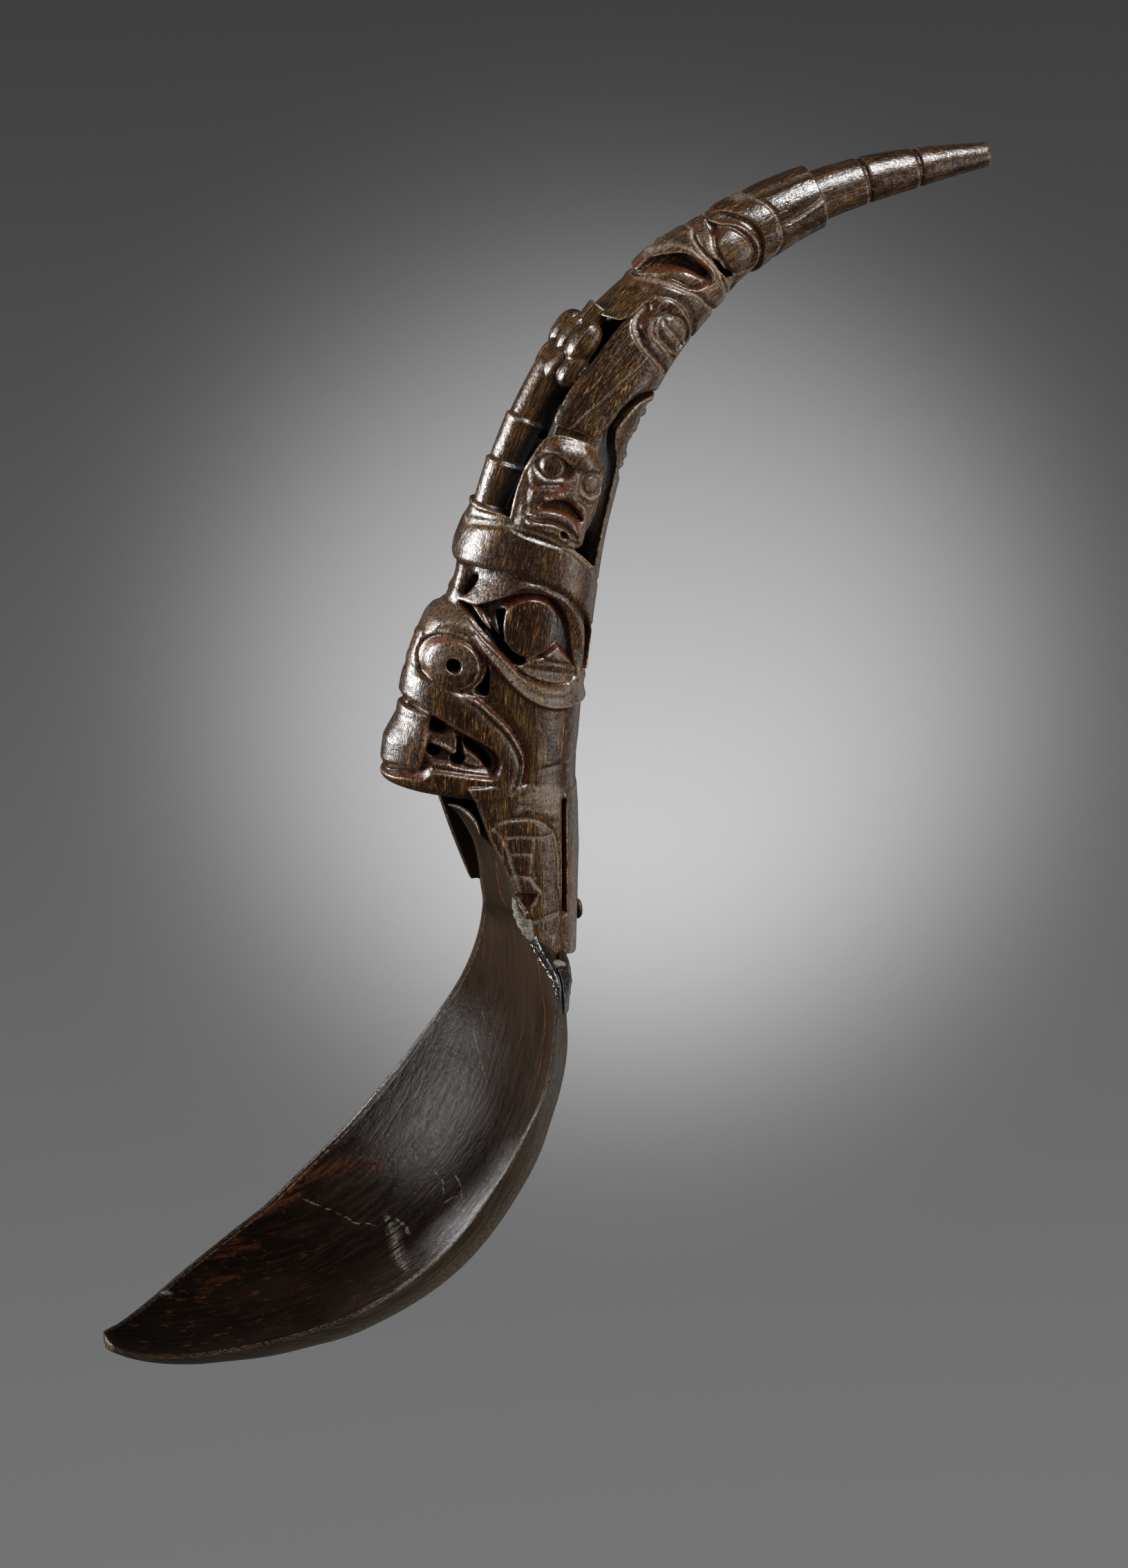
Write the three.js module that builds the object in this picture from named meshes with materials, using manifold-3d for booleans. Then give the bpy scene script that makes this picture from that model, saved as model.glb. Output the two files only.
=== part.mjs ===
import * as THREE from "three";
import Module from "manifold-3d";

const wasm = await Module();
wasm.setup();

// All sizes are millimetres. The spoon stands as it is shown: handle up and bent toward +X,
// bowl out toward -X, both sides alike across Y except where a size says otherwise.

// Handle: centre line of the horn, from the foot of the legs to the cut tip.
const HANDLE_RISE = 154.8;          // height of the tip above the foot
const HANDLE_REACH = 98.8;          // how far the tip lies behind the foot
const FOOT_X = -2.2;
const SPINE_LEAN = 7.9;             // forward bow of the lower half
const SPINE_KNEE = 120.2;           // height at which the bow turns back
const SPINE_TURN_X = 28.9;
const SPINE_TURN_DROP = 4.2;
const TIP_STATION = 213.5;

// Horn sections: [distance along the centre line, front, back, side] half-widths.
const HORN = [
  [0, 13.0, 12.8, 13.2], [12, 13.4, 13.8, 13.6], [24, 14.0, 14.4, 14.0], [33, 14.4, 14.2, 14.0],
  [37, 25.8, 13.9, 14.0], [44, 26.2, 13.9, 14.0], [48, 25.8, 14.2, 14.0], [52, 23.4, 14.3, 14.0],
  [57, 22.9, 14.4, 14.0], [63, 22.3, 14.3, 14.0], [68, 20.7, 14.3, 14.0], [70.5, 19.0, 14.2, 14.0],
  [73.5, 15.9, 14.0, 14.0], [79, 15.4, 13.8, 13.9], [84, 15.7, 13.5, 13.7], [90, 14.6, 13.1, 13.3],
  [99, 14.5, 12.6, 12.8], [108, 13.2, 11.8, 12.2], [116, 12.3, 11.5, 11.7], [124, 10.4, 11.1, 11.2],
  [132, 8.2, 10.4, 10.4], [138, 7.4, 9.9, 9.8], [141, 8.2, 9.7, 9.6], [146, 8.4, 9.1, 9.2],
  [154, 8.0, 8.2, 8.4], [162, 7.5, 7.2, 7.7], [169, 7.3, 6.4, 7.1], [176.5, 6.9, 5.8, 6.6],
];
const HEAD_FOOT = 37;               // station where the head juts out over the legs
// Smooth end of the horn above the collar.
const TIP = [
  [174, 5.4, 4.9, 5.1], [181, 5.2, 4.6, 4.8], [186.8, 4.9, 4.4, 4.6], [192, 4.5, 4.2, 4.3],
  [198, 3.9, 3.9, 3.9], [204, 3.3, 3.3, 3.3], [210, 2.7, 2.7, 2.7], [213.5, 2.4, 2.4, 2.4],
];
const TIP_RINGS = [186.8, 198];     // scribed rings on the smooth end
const RING_DEPTH = 0.35;
const RING_WIDTH = 0.8;

// The horn's own hollow, from the foot up into the head.
const HOLLOW = [[-2, 9.2], [38, 8.8], [60, 7.6], [80, 5.6], [96, 5.0]];

// Depths below the horn's surface.
const BAND_LEVEL = 0.3;             // lid, lips and eye disc
const HOLLOWED = 1.6;               // ground around the eye and nostril
const CHEEK_DEPTH = 0.8;
const SOCKET_DEPTH = 2.8;
const MOUTH_DEPTH = 3.8;
const TEETH_LEVEL = 1.9;
const PIERCED = 8;
const LINE_DEPTH = 0.8;
const SHELL = 4.2;                  // thickness of the wings, faces and back strip
const BRIDGE_DEPTH = 2.2;           // neck of material that joins the wing to the face

// Side outlines: [behind the centre line, distance along it].
const HEAD_FLOOR = [[-40, -7], [-40, 4.4], [-25.6, 2.9], [-20.5, 2.2], [-15.7, 1.7], [-10.3, 1.0],
  [-6.9, 1.0], [-4.7, 2.2], [-2.6, 3.6], [0.5, 3.2], [3.0, 2.2], [6.0, 1.7], [20, 1.9], [20, -7],
].map(([x, up]) => [x, HEAD_FOOT + up]);
const ORBIT = [[-15.2, 79.4], [-11.2, 82.4], [-5.5, 81.8], [-1.4, 80.9], [3.9, 79.1], [8.4, 75.6], [12.2, 71.4],
  [13.4, 65], [12.3, 61.8], [7.2, 60.4], [3.5, 60.3], [0.2, 61], [-3.1, 62.5], [-5.4, 64.5], [-8.2, 66.9],
  [-11.2, 69.3], [-14.5, 72.6], [-16.2, 75.2]];
const LID = [[-14.6, 74.8], [-12.1, 77.0], [-9.4, 78.7], [-5.4, 80.2], [-1.4, 80.1], [3.8, 78.1], [8.1, 74.6],
  [10.3, 71.6], [11.3, 68.0], [11.3, 62.6], [8.6, 61.8], [8.0, 65.0], [-4.2, 65.4], [-9.6, 69.4]];
const SOCKET = [[-12.2, 75.0], [-8.2, 77.6], [-4.0, 78.4], [-0.3, 77.8], [2.6, 75.6], [4.8, 72.5], [6.4, 69.3],
  [7.0, 67.4], [3.1, 68.1], [0.5, 66.6], [-4.1, 66.0], [-7.6, 68.6], [-9.4, 71.4]];
const EYE = { at: [-2.4, 71.9], radius: 5.7 };
const EYE_GAP = [[-15.0, 74.2], [-12.2, 71.9], [-9.7, 69.7], [-7.8, 68.3], [-5.1, 66.5], [-2.0, 65.4],
  [-3.4, 64.2], [-5.6, 64.6], [-8.3, 66.7], [-11.4, 69.2], [-14.6, 72.5]];
const NOSE_SLOT = [[-15.4, 78.8], [-13.8, 79.2], [-13.4, 77.2], [-14.8, 75.0], [-15.8, 76.0]];
const CHEEK = [[-11.0, 66.4], [-9.2, 65.1], [-6.0, 61.8], [-2.7, 59.0], [0.5, 57.2], [3.9, 56.1], [8.1, 55.7],
  [20, 55.9], [20, 42.0], [-0.4, 42.0], [-1.6, 43.0], [-1.0, 45.8], [-1.6, 48.9], [-3.8, 52.5], [-6.7, 55.8],
  [-9.4, 59.0], [-10.2, 62.6]];
const NOSTRIL_GROUND = [[-30, 60.9], [-21.5, 60.8], [-19.3, 60.2], [-15.3, 59], [-12.6, 58.5], [-10.3, 57.5],
  [-9.8, 59.2], [-10.1, 63.2], [-11.2, 67.3], [-13.3, 69.3], [-15.9, 69.4], [-18.4, 67.9], [-20.7, 65.1], [-30, 64.3]];
const NOSTRIL = { at: [-15.9, 63.2], radius: 4.5, hole: 1.25 };
const NOSTRIL_GAP = [[-11.2, 64.4], [-10.3, 63.8], [-10.2, 61.0], [-10.4, 58.4], [-11.7, 57.8], [-13.4, 58.9], [-11.8, 61.2]];
const LIP_CREASE = { width: 1.1, line: [[-10.6, 57.4], [-6.9, 54.3], [-4.2, 51], [-2.4, 47.5], [-2, 44.8],
  [-2.6, 41.4], [-4.4, 38.6]] };
const MOUTH = [[-40, 56.6], [-23.9, 56], [-20.4, 54.3], [-17.7, 53], [-14.7, 51.7], [-11, 49.8], [-8, 48],
  [-6.6, 46.2], [-6.6, 44.1], [-7.8, 42.5], [-11.9, 43.6], [-15.2, 44.2], [-19, 44.2], [-20.7, 42.2],
  [-23.5, 42.6], [-40, 43.2]];
const TONGUE = [[-28.0, 56.0], [-23.7, 55.2], [-18.6, 53.0], [-19.1, 50.9], [-20.0, 47.6], [-20.6, 42.8],
  [-23.8, 42.4], [-28.6, 43.0]];
const TONGUE_SIDE = 7.4;
const TEETH = [
  [[-18.8, 50.4], [-16.6, 50.2], [-14.2, 50.6], [-14.6, 48.2], [-18.8, 49.2]],
  [[-13.0, 48.4], [-10.4, 46.4], [-8.6, 44.6], [-9.4, 43.6], [-12.6, 45.4]],
  [[-18.8, 45.8], [-15.4, 46.2], [-15.2, 44.0], [-18.8, 43.8]],
];
const TEETH_SIDE = 5;               // how far inward the teeth reach

// Openwork between the headband and the bird's belly, cut right across.
const OPENWORK = [[-24, 90.3], [-11.6, 91.6], [-8, 91.3], [-3, 90.5], [1.6, 89.2], [5.7, 87.3], [9.9, 84.6],
  [16, 79], [30, 79], [30, 124.5], [6, 124.4], [2, 133], [-4.4, 135.5], [-6.0, 131.6], [-8.8, 129.8], [-24, 129.8]];
const ROD = { low: [-11.2, 88], high: [-9.0, 119.5], radius: 3.6, groove: 0.5 };
const ROD_RINGS = [91.8, 99.9, 108.3];
const STRIP = [[14, 80], [9.8, 84.4], [9.1, 92.1], [8.2, 97.0], [7.0, 104.0], [5.4, 108.6], [4.2, 113.0],
  [3.6, 118.4], [3.6, 121.6], [6.4, 123.2], [8.6, 124.6], [14, 124.8]];
const WING = [[-7.9, 110.5], [-4.6, 110.0], [-0.2, 110.2], [1.2, 111.8], [2.6, 115.7], [3.4, 120.0],
  [4.6, 122.7], [7.7, 124.3], [16, 124.4], [16, 134.0], [2.0, 141.0], [-3.6, 139.2], [-4.2, 136.2], [-5.3, 131.6],
  [-5.9, 129.0], [-6.6, 123.1], [-7.6, 116.5]];
const WING_RIDGE = { width: 0.9, line: [[-5.2, 109.4], [-1.6, 119.3], [1.2, 126.3], [1.6, 128.4]] };
const WING_CURL = { width: 1.0, line: [[-3.1, 133.8], [-2.7, 131.9], [-0.8, 130.7], [4.8, 129.6], [9.4, 129.1]] };
const WING_PAD = [[0.4, 133.8], [6.6, 132.3], [8.1, 135.9], [1.1, 139.2], [-0.7, 136.4]];
const FACE = [[-8.0, 107.5], [-5.6, 108.9], [-2.4, 109.4], [0.1, 109.6], [3.0, 107.2], [4.5, 105.5], [5.4, 103.0],
  [6.1, 98.8], [6.2, 95.5], [4.8, 91.8], [3.2, 87.6], [-9.4, 89.6], [-9.9, 91.9], [-10.1, 97.9], [-9.8, 100.8],
  [-9.2, 103.9]];
const BRIDGE = [[-6.6, 106], [3.4, 106], [3.0, 114.5], [-6.8, 114.5]];
const FACE_PROUD = 0.7;             // the faces stand this much proud of the horn
const FACE_SOCKETS = [
  [[-8.8, 104.3], [-6.6, 105.6], [-4.3, 105.5], [-1.4, 103.5], [-2.6, 101.0], [-4.9, 100.5], [-6.7, 100.2],
    [-8.6, 101.7]],
  [[0.2, 103.1], [1.5, 104.5], [3.7, 104.4], [5.6, 100.9], [5.2, 99.5], [3.0, 99.4], [1.2, 100.5]],
];
const FACE_EYES = [[-5.8, 103.1], [3.2, 102.3]];
const FACE_EYE_RADIUS = 1.8;
const FACE_NOSE = [[-1.7, 103.6], [-0.3, 103.2], [0.2, 99.6], [-0.9, 97.8], [-5.2, 96.4], [-4.8, 98.2], [-2.9, 99.6]];
const FACE_MOUTH = [[-5.6, 95.8], [-3.5, 97.1], [-1.1, 97.3], [2.4, 95.3], [1.4, 94.6], [-1.0, 95.5], [-4.0, 95.3],
  [-7.4, 93.7]];

// Claws on top of the rod: [behind, along, across, radius, half-length].
const CLAWS = [
  [-10.2, 120.4, 1.7, 2.2, 3.4], [-7.6, 118.6, 5.2, 2.9, 4.4],
  [-9.1, 126.2, 1.8, 2.6, 4.2], [-6.9, 125.2, 5.4, 3.2, 5.2],
];

// Bird's head.
const BEAK_GAP = [[-12, 139.6], [-8.6, 143.2], [-7.6, 146.8], [-5.6, 148.8], [-2.0, 150.2], [0.8, 149.2],
  [-1.2, 145.2], [-5.2, 142.3], [-8.4, 140.0], [-12, 138.2]];
const BEAK_TONGUE = [[-7.4, 141.2], [-5.8, 143.8], [-2.6, 146.4], [0.2, 148.2], [-1.4, 145.6], [-5.0, 142.6]];
const BIRD_EYE = { at: [-1.0, 156.3], radius: 2.9 };
const BIRD_SOCKET = [[-6.4, 153.6], [-4.6, 159.0], [-1.0, 160.4], [2.4, 159.4], [5.2, 156.6], [7.6, 152.6],
  [3.6, 152.6], [-1.6, 152.4]];
const BIRD_LINES = [
  { width: 1.0, line: [[-11, 152.7], [-7.6, 153.7], [-3.2, 152.4], [3, 151.7], [9, 151.2]] },
  { width: 0.9, line: [[-9, 155.9], [-6.2, 159.6], [-2, 162], [2.3, 161.2], [5.7, 158.6], [9, 154.9]] },
  { width: 0.6, line: [[-12, 162.2], [-8, 162.4], [-6.4, 164.2], [-4.4, 165.8], [-0.6, 166.4], [2.2, 165.4],
    [5.7, 164.3], [12, 163]] },
  { width: 0.7, line: [[-0.5, 166.4], [-0.2, 178]] },
];
const BIRD_LINE_DEPTH = 0.5;

// Legs that straddle the tang: side outlines, the far leg being cut shorter.
const LEG_LAP = 4;                  // the legs run this far up into the head
const LEG_TOP = HEAD_FOOT + LEG_LAP;
const LEG_PAST = LEG_TOP + 1;       // their outlines run on past that
const LEG_NEAR = [[-13.6, LEG_PAST], [-10.4, 37.3], [-7.6, 29.6], [-5.5, 25.2], [-3.0, 18.5], [-1.6, 14.0],
  [0.2, 5.2], [1.0, 4.4], [7.4, 3.4], [10.7, 1.6], [17, 1.2], [17, LEG_PAST]];
const LEG_FAR = [[-15.4, LEG_PAST], [-12.6, 37.3], [-9.6, 29.8], [-5.6, 18.4], [-2.8, 10.5], [4.0, 8.6],
  [10.7, 2.6], [17, 1.2], [17, LEG_PAST]];
const LEG_STEP = 0.3;               // the legs lie this much below the head's surface
const LEG_SQUARE = 4;               // exponent of the legs' section in front, where 2 is an ellipse
const LEG_ROOM = [[-30, 20], [-2.0, 20], [-2.0, 39.6], [-30, 39.6]];
const LEG_ROOM_SIDE = 10.6;
const LEG_SLIT = [[7.2, 12.0], [7.1, 24.5], [7.4, 36.2], [8.2, 36.2], [8.0, 24.5], [8.0, 12.0]];
const LEG_LINES = [
  { width: 0.7, line: [[-7.8, 32.9], [-4.5, 33.7], [0.3, 32.9], [5, 29.5]] },
  { width: 0.6, line: [[0.6, 27.8], [-0.4, 21.3], [2.2, 18.2]] },
];
const LEG_LINE_DEPTH = 0.5;
const LEG_NOTCH = [[-2.9, 18.4], [1.1, 17.9], [0.2, 15.8], [-1.4, 14.4]];

// Bowl: [rim x, rim z, half-width, depth] from the tip of the bowl to the top of the tang.
const BOWL = [
  [-86.9, -69.1, 3.8, 2.0], [-85.0, -69.6, 6.2, 2.5], [-82.1, -69.9, 8.8, 3.4], [-77.9, -69.5, 12.3, 4.9],
  [-72.2, -68.2, 16.4, 6.9], [-66.0, -66.2, 20.4, 8.9], [-59.0, -63.9, 24.3, 10.9], [-52.1, -61.2, 27.4, 12.6],
  [-45.6, -58.4, 29.7, 14.4], [-39.7, -54.8, 31.6, 15.9], [-33.8, -50.6, 32.9, 17.2], [-28.0, -45.9, 33.4, 17.9],
  [-22.9, -40.8, 33.2, 17.9], [-18.3, -35.5, 32.5, 17.4], [-14.0, -30.1, 31.7, 16.5], [-10.2, -24.6, 30.7, 14.8],
  [-6.6, -19.1, 29.4, 12.6], [-3.9, -13.5, 27.5, 10.7], [-2.3, -7.8, 25.2, 8.9], [-1.2, -2.3, 23.6, 7.1],
  [-1.1, 2.8, 21.6, 5.6], [-3.4, 7.6, 15.4, 4.4], [-4.6, 12.2, 12.6, 4.0], [-5.6, 17.0, 11.0, 3.8],
  [-6.8, 21.8, 10.4, 3.8], [-8.6, 25.6, 10.3, 3.3], [-10.6, 28.6, 10.3, 2.5],
];
const BOWL_WALL = 1.7;
const BOWL_BELLY = 2.3;             // exponent of the bowl's cross-section
const SEAT_GAP = 0.3;

// Soft fillings laid in the joint: z range, distance in from the rim, width and height.
const PITCH_BEAD = { low: -1.5, high: 7.2, edge: 2.2, width: 2.6, height: 1.3 };
const FILLER_PATCH = { low: 7.6, high: 15.4, edge: 2.4, width: 5.4, height: 1.3 };
const FILLING_RINGS = 8;
// Pitch under the legs, around the back of the tang.
const PITCH_FOOT = { low: -4.5, high: 3.2, thickness: 1.6, share: 0.86 };

// Rivet through the back of the socket and the tang.
const RIVET_Z = 9.0;
const RIVET_RADIUS = 1.3;
const RIVET_HEAD = 2.1;
const RIVET_HEAD_DEPTH = 1.1;

const SEGMENTS = 28;
const SMALLEST_FORM = 0.13;          // faces finer than this are merged

// Centre line of the handle.
const spine = new THREE.CubicBezierCurve3(
  new THREE.Vector3(FOOT_X, 0, 0),
  new THREE.Vector3(FOOT_X - SPINE_LEAN, 0, SPINE_KNEE),
  new THREE.Vector3(FOOT_X + SPINE_TURN_X, 0, HANDLE_RISE - SPINE_TURN_DROP),
  new THREE.Vector3(FOOT_X + HANDLE_REACH, 0, HANDLE_RISE),
);
spine.arcLengthDivisions = 600;
const spineLength = spine.getLength();

// Bends a straight-horn point (behind, across, along) onto the centre line.
function bendPoint(x, y, s) {
  const u = THREE.MathUtils.clamp(s / TIP_STATION, 0, 1);
  const along = (s / TIP_STATION - u) * spineLength;
  const p = spine.getPointAt(u);
  const t = spine.getTangentAt(u);
  return [p.x + t.x * along + t.z * x, y, p.z + t.z * along - t.x * x];
}

function toSolid(positions, triangles) {
  return new wasm.Manifold(new wasm.Mesh({
    numProp: 3,
    vertProperties: new Float32Array(positions),
    triVerts: new Uint32Array(triangles),
  }));
}

function fromGeometry(geometry, matrix) {
  const plain = geometry.clone();
  if (matrix) plain.applyMatrix4(matrix);
  const at = plain.getAttribute("position");
  const index = plain.index ? plain.index.array : [...Array(at.count).keys()];
  const seen = new Map();
  const points = [];
  const remap = [];
  for (let i = 0; i < at.count; i++) {
    const key = [at.getX(i), at.getY(i), at.getZ(i)].map((v) => Math.round(v * 1e4)).join();
    if (!seen.has(key)) {
      seen.set(key, points.length / 3);
      points.push(at.getX(i), at.getY(i), at.getZ(i));
    }
    remap.push(seen.get(key));
  }
  const faces = [];
  for (let i = 0; i < index.length; i += 3) {
    const [a, b, c] = [remap[index[i]], remap[index[i + 1]], remap[index[i + 2]]];
    if (a !== b && b !== c && a !== c) faces.push(a, b, c);
  }
  return toSolid(points, faces);
}

// Closed loft through rings of equal count. The ends of a folded ring, which runs out along one
// side and back along the other, are closed across the fold.
function loft(rings, folded = false) {
  const count = rings[0].length;
  const points = rings.flat(2);
  const faces = [];
  for (let r = 0; r + 1 < rings.length; r++) {
    for (let k = 0; k < count; k++) {
      const a = r * count + k;
      const b = r * count + (k + 1) % count;
      faces.push(a, b, b + count, a, b + count, a + count);
    }
  }
  const last = (rings.length - 1) * count;
  for (let k = 1; k + 1 < count; k++) {
    if (!folded) faces.push(0, k + 1, k, last, last + k, last + k + 1);
    else if (2 * k < count) {
      const [a, b, c, d] = [k - 1, k, count - 1 - k, count - k];
      faces.push(a, c, b, a, d, c, last + a, last + b, last + c, last + a, last + c, last + d);
    }
  }
  const made = toSolid(points, faces);
  return made.volume() < 0 ? toSolid(points, faces.map((v, i) => faces[i - (i % 3) + [0, 2, 1][i % 3]])) : made;
}

// Section of the horn: half an ellipse behind, and in front one that may be squarer.
function ring(front, back, side, s, square) {
  const points = [];
  for (let k = 0; k < SEGMENTS; k++) {
    const angle = (2 * Math.PI * (k + 0.5)) / SEGMENTS;
    const [c, d] = [Math.cos(angle), Math.sin(angle)];
    const fill = (v) => Math.sign(v) * Math.pow(Math.abs(v), 2 / square);
    points.push(c < 0 ? [front * fill(c), side * fill(d), s] : [back * c, side * d, s]);
  }
  return points;
}

// Horn between two stations, its surface moved outward by grow.
function horn(stations, grow, { from = -Infinity, to = Infinity, square = 2 } = {}) {
  const at = (s) => {
    let i = 1;
    while (i < stations.length - 1 && stations[i][0] < s) i++;
    const [a, b] = [stations[i - 1], stations[i]];
    const t = (s - a[0]) / (b[0] - a[0]);
    return [1, 2, 3].map((j) => a[j] + (b[j] - a[j]) * t + grow);
  };
  const lo = Math.max(from, stations[0][0]);
  const hi = Math.min(to, stations[stations.length - 1][0]);
  const marks = [lo, ...stations.map((row) => row[0]).filter((s) => s > lo + 0.5 && s < hi - 0.5), hi];
  return loft(marks.map((s) => ring(...at(s), s, square)));
}

// Straight-sided solid over a side outline, between two distances from the middle.
function slab(outline, inner, outer) {
  const points = outline.map(([x, s]) => new THREE.Vector2(x, s));
  if (THREE.ShapeUtils.area(points) < 0) points.reverse();
  const body = new THREE.ExtrudeGeometry(new THREE.Shape(points), { depth: outer - inner, bevelEnabled: false });
  // The shape's plane stands upright and the extrusion runs toward the near side.
  const stand = new THREE.Matrix4().makeRotationX(Math.PI / 2).setPosition(0, -inner, 0);
  return fromGeometry(body, stand);
}

// Outline of a line of even width.
function stroke({ line, width }) {
  const sides = [[], []];
  line.forEach(([x, s], i) => {
    const a = line[Math.max(i - 1, 0)];
    const b = line[Math.min(i + 1, line.length - 1)];
    const run = new THREE.Vector2(b[0] - a[0], b[1] - a[1]).setLength(width / 2);
    sides[0].push([x - run.y, s + run.x]);
    sides[1].unshift([x + run.y, s - run.x]);
  });
  return sides.flat();
}

const both = (solid) => solid.add(solid.mirror([0, 1, 0]));
const union = (list) => list.reduce((a, b) => a.add(b));

function discOutline({ at, radius }, sides = 24) {
  const outline = [];
  for (let k = 0; k < sides; k++) {
    const a = (2 * Math.PI * k) / sides;
    outline.push([at[0] + radius * Math.cos(a), at[1] + radius * Math.sin(a)]);
  }
  return outline;
}

function oval([x, s, y, radius, half], near) {
  const ball = new THREE.SphereGeometry(1, 10, 8);
  const place = new THREE.Matrix4().makeTranslation(x, near ? -y : y, s)
    .multiply(new THREE.Matrix4().makeScale(radius, radius, half));
  return fromGeometry(ball, place);
}

// The handle is carved as a straight horn and bent afterwards.
const FAR_OUT = 40;
const INNER = 1.2;
const OVERLAP = 0.01;

const sink = (outline, depth, inner = INNER) => both(slab(outline, inner, FAR_OUT)).subtract(horn(HORN, -depth));
const raise = (outline, depth, inner = INNER) => both(slab(outline, inner, FAR_OUT)).intersect(horn(HORN, -depth));
const crease = (path, depth) => sink(stroke(path), depth);
const shell = (outline, grow, thickness) => raise(outline, -grow).subtract(horn(HORN, grow - thickness));

let head = horn(HORN, 0, { from: HEAD_FOOT }).add(horn(TIP, 0));

// Ground around the eye, lid, socket and eye.
head = head.subtract(sink(ORBIT, HOLLOWED)).add(raise(LID, BAND_LEVEL, 4)).subtract(sink(SOCKET, SOCKET_DEPTH));
head = head.add(raise(discOutline(EYE), BAND_LEVEL, 4));
// Cheek, nostril and lips.
head = head.subtract(sink(CHEEK, CHEEK_DEPTH)).subtract(sink(NOSTRIL_GROUND, HOLLOWED));
head = head.add(raise(discOutline(NOSTRIL), BAND_LEVEL, 4));
head = head.subtract(crease(LIP_CREASE, LINE_DEPTH + 0.5));
// Mouth with its tongue and teeth.
head = head.subtract(sink(MOUTH, MOUTH_DEPTH));
head = head.add(slab(TONGUE, -TONGUE_SIDE, TONGUE_SIDE).intersect(horn(HORN, -2 * BAND_LEVEL)));
head = head.add(union(TEETH.map((tooth) => raise(tooth, TEETH_LEVEL, TEETH_SIDE))));
// Pierced places.
head = head.subtract(sink(EYE_GAP, PIERCED)).subtract(sink(NOSE_SLOT, PIERCED)).subtract(sink(NOSTRIL_GAP, PIERCED));
head = head.subtract(both(slab(discOutline({ at: NOSTRIL.at, radius: NOSTRIL.hole }, 12), 3, FAR_OUT)));
head = head.subtract(slab(HEAD_FLOOR, -FAR_OUT, FAR_OUT));

// Hollow core.
const core = fromGeometry(new THREE.LatheGeometry(
  [new THREE.Vector2(0, HOLLOW[0][0]), ...HOLLOW.map(([s, r]) => new THREE.Vector2(r, s)),
    new THREE.Vector2(0, HOLLOW[HOLLOW.length - 1][0])], 20,
), new THREE.Matrix4().makeRotationX(Math.PI / 2));
head = head.subtract(core);

// Openwork: wings, faces and back strip are shells of the horn around an open middle.
head = head.subtract(slab(OPENWORK, -FAR_OUT, FAR_OUT));
head = head.add(shell(STRIP, 0, SHELL)).add(shell(WING, 0, SHELL)).add(shell(FACE, FACE_PROUD, SHELL + FACE_PROUD));
head = head.add(shell(BRIDGE, -BRIDGE_DEPTH, SHELL - BRIDGE_DEPTH));
head = head.subtract(union(FACE_SOCKETS.map((socket) => sink(socket, 0.4))));
head = head.add(union(FACE_EYES.map((at) => raise(discOutline({ at, radius: FACE_EYE_RADIUS }, 14), -FACE_PROUD + 0.2, 9))));
head = head.add(raise(FACE_NOSE, -FACE_PROUD - 0.8, 9));
head = head.subtract(sink(FACE_MOUTH, 0.8));

// Ringed rod and the claws on it.
const rodRun = new THREE.Vector2(ROD.high[0] - ROD.low[0], ROD.high[1] - ROD.low[1]);
const rodShape = [new THREE.Vector2(0, 0), new THREE.Vector2(ROD.radius, 0)];
for (const s of ROD_RINGS) {
  const up = s - ROD.low[1];
  rodShape.push(new THREE.Vector2(ROD.radius, up - 0.4), new THREE.Vector2(ROD.radius - ROD.groove, up),
    new THREE.Vector2(ROD.radius, up + 0.4));
}
rodShape.push(new THREE.Vector2(ROD.radius, rodRun.length()), new THREE.Vector2(0, rodRun.length()));
const rodLean = Math.atan2(rodRun.x, rodRun.y);
const rod = fromGeometry(new THREE.LatheGeometry(rodShape, 20),
  new THREE.Matrix4().makeTranslation(ROD.low[0], 0, ROD.low[1])
    .multiply(new THREE.Matrix4().makeRotationY(rodLean)).multiply(new THREE.Matrix4().makeRotationX(Math.PI / 2)));
head = head.add(rod).add(union(CLAWS.flatMap((c) => [oval(c, true), oval(c, false)])));
head = head.subtract(crease(WING_RIDGE, 0.6)).subtract(crease(WING_CURL, LINE_DEPTH)).subtract(sink(WING_PAD, 0.6));

// Bird's head, collar and the rings on the tip.
head = head.subtract(sink(BEAK_GAP, 2.8)).add(raise(BEAK_TONGUE, 1.1, 2));
head = head.subtract(sink(BIRD_SOCKET, 1.0)).add(raise(discOutline(BIRD_EYE, 18), 0, 2));
for (const path of BIRD_LINES) head = head.subtract(crease(path, BIRD_LINE_DEPTH));
for (const s of TIP_RINGS) {
  const [lo, hi] = [s - RING_WIDTH / 2, s + RING_WIDTH / 2];
  head = head.subtract(slab([[-20, lo], [20, lo], [20, hi], [-20, hi]], -FAR_OUT, FAR_OUT)
    .subtract(horn(TIP, -RING_DEPTH)));
}

// Legs.
const legShapes = slab(LEG_NEAR, 0, FAR_OUT).add(slab(LEG_FAR, -FAR_OUT, OVERLAP));
let legs = horn(HORN, -LEG_STEP, { to: LEG_TOP, square: LEG_SQUARE }).intersect(legShapes);
legs = legs.subtract(core).subtract(slab(LEG_ROOM, -LEG_ROOM_SIDE, LEG_ROOM_SIDE));
const cutLeg = (outline, depth) => slab(outline, INNER, FAR_OUT)
  .subtract(horn(HORN, -depth, { to: LEG_TOP, square: LEG_SQUARE }));
legs = legs.subtract(both(cutLeg(LEG_SLIT, 4.4)));
for (const path of LEG_LINES) legs = legs.subtract(cutLeg(stroke(path), LEG_STEP + LEG_LINE_DEPTH));
legs = legs.subtract(cutLeg(LEG_NOTCH, LEG_STEP + 1.1));

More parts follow.
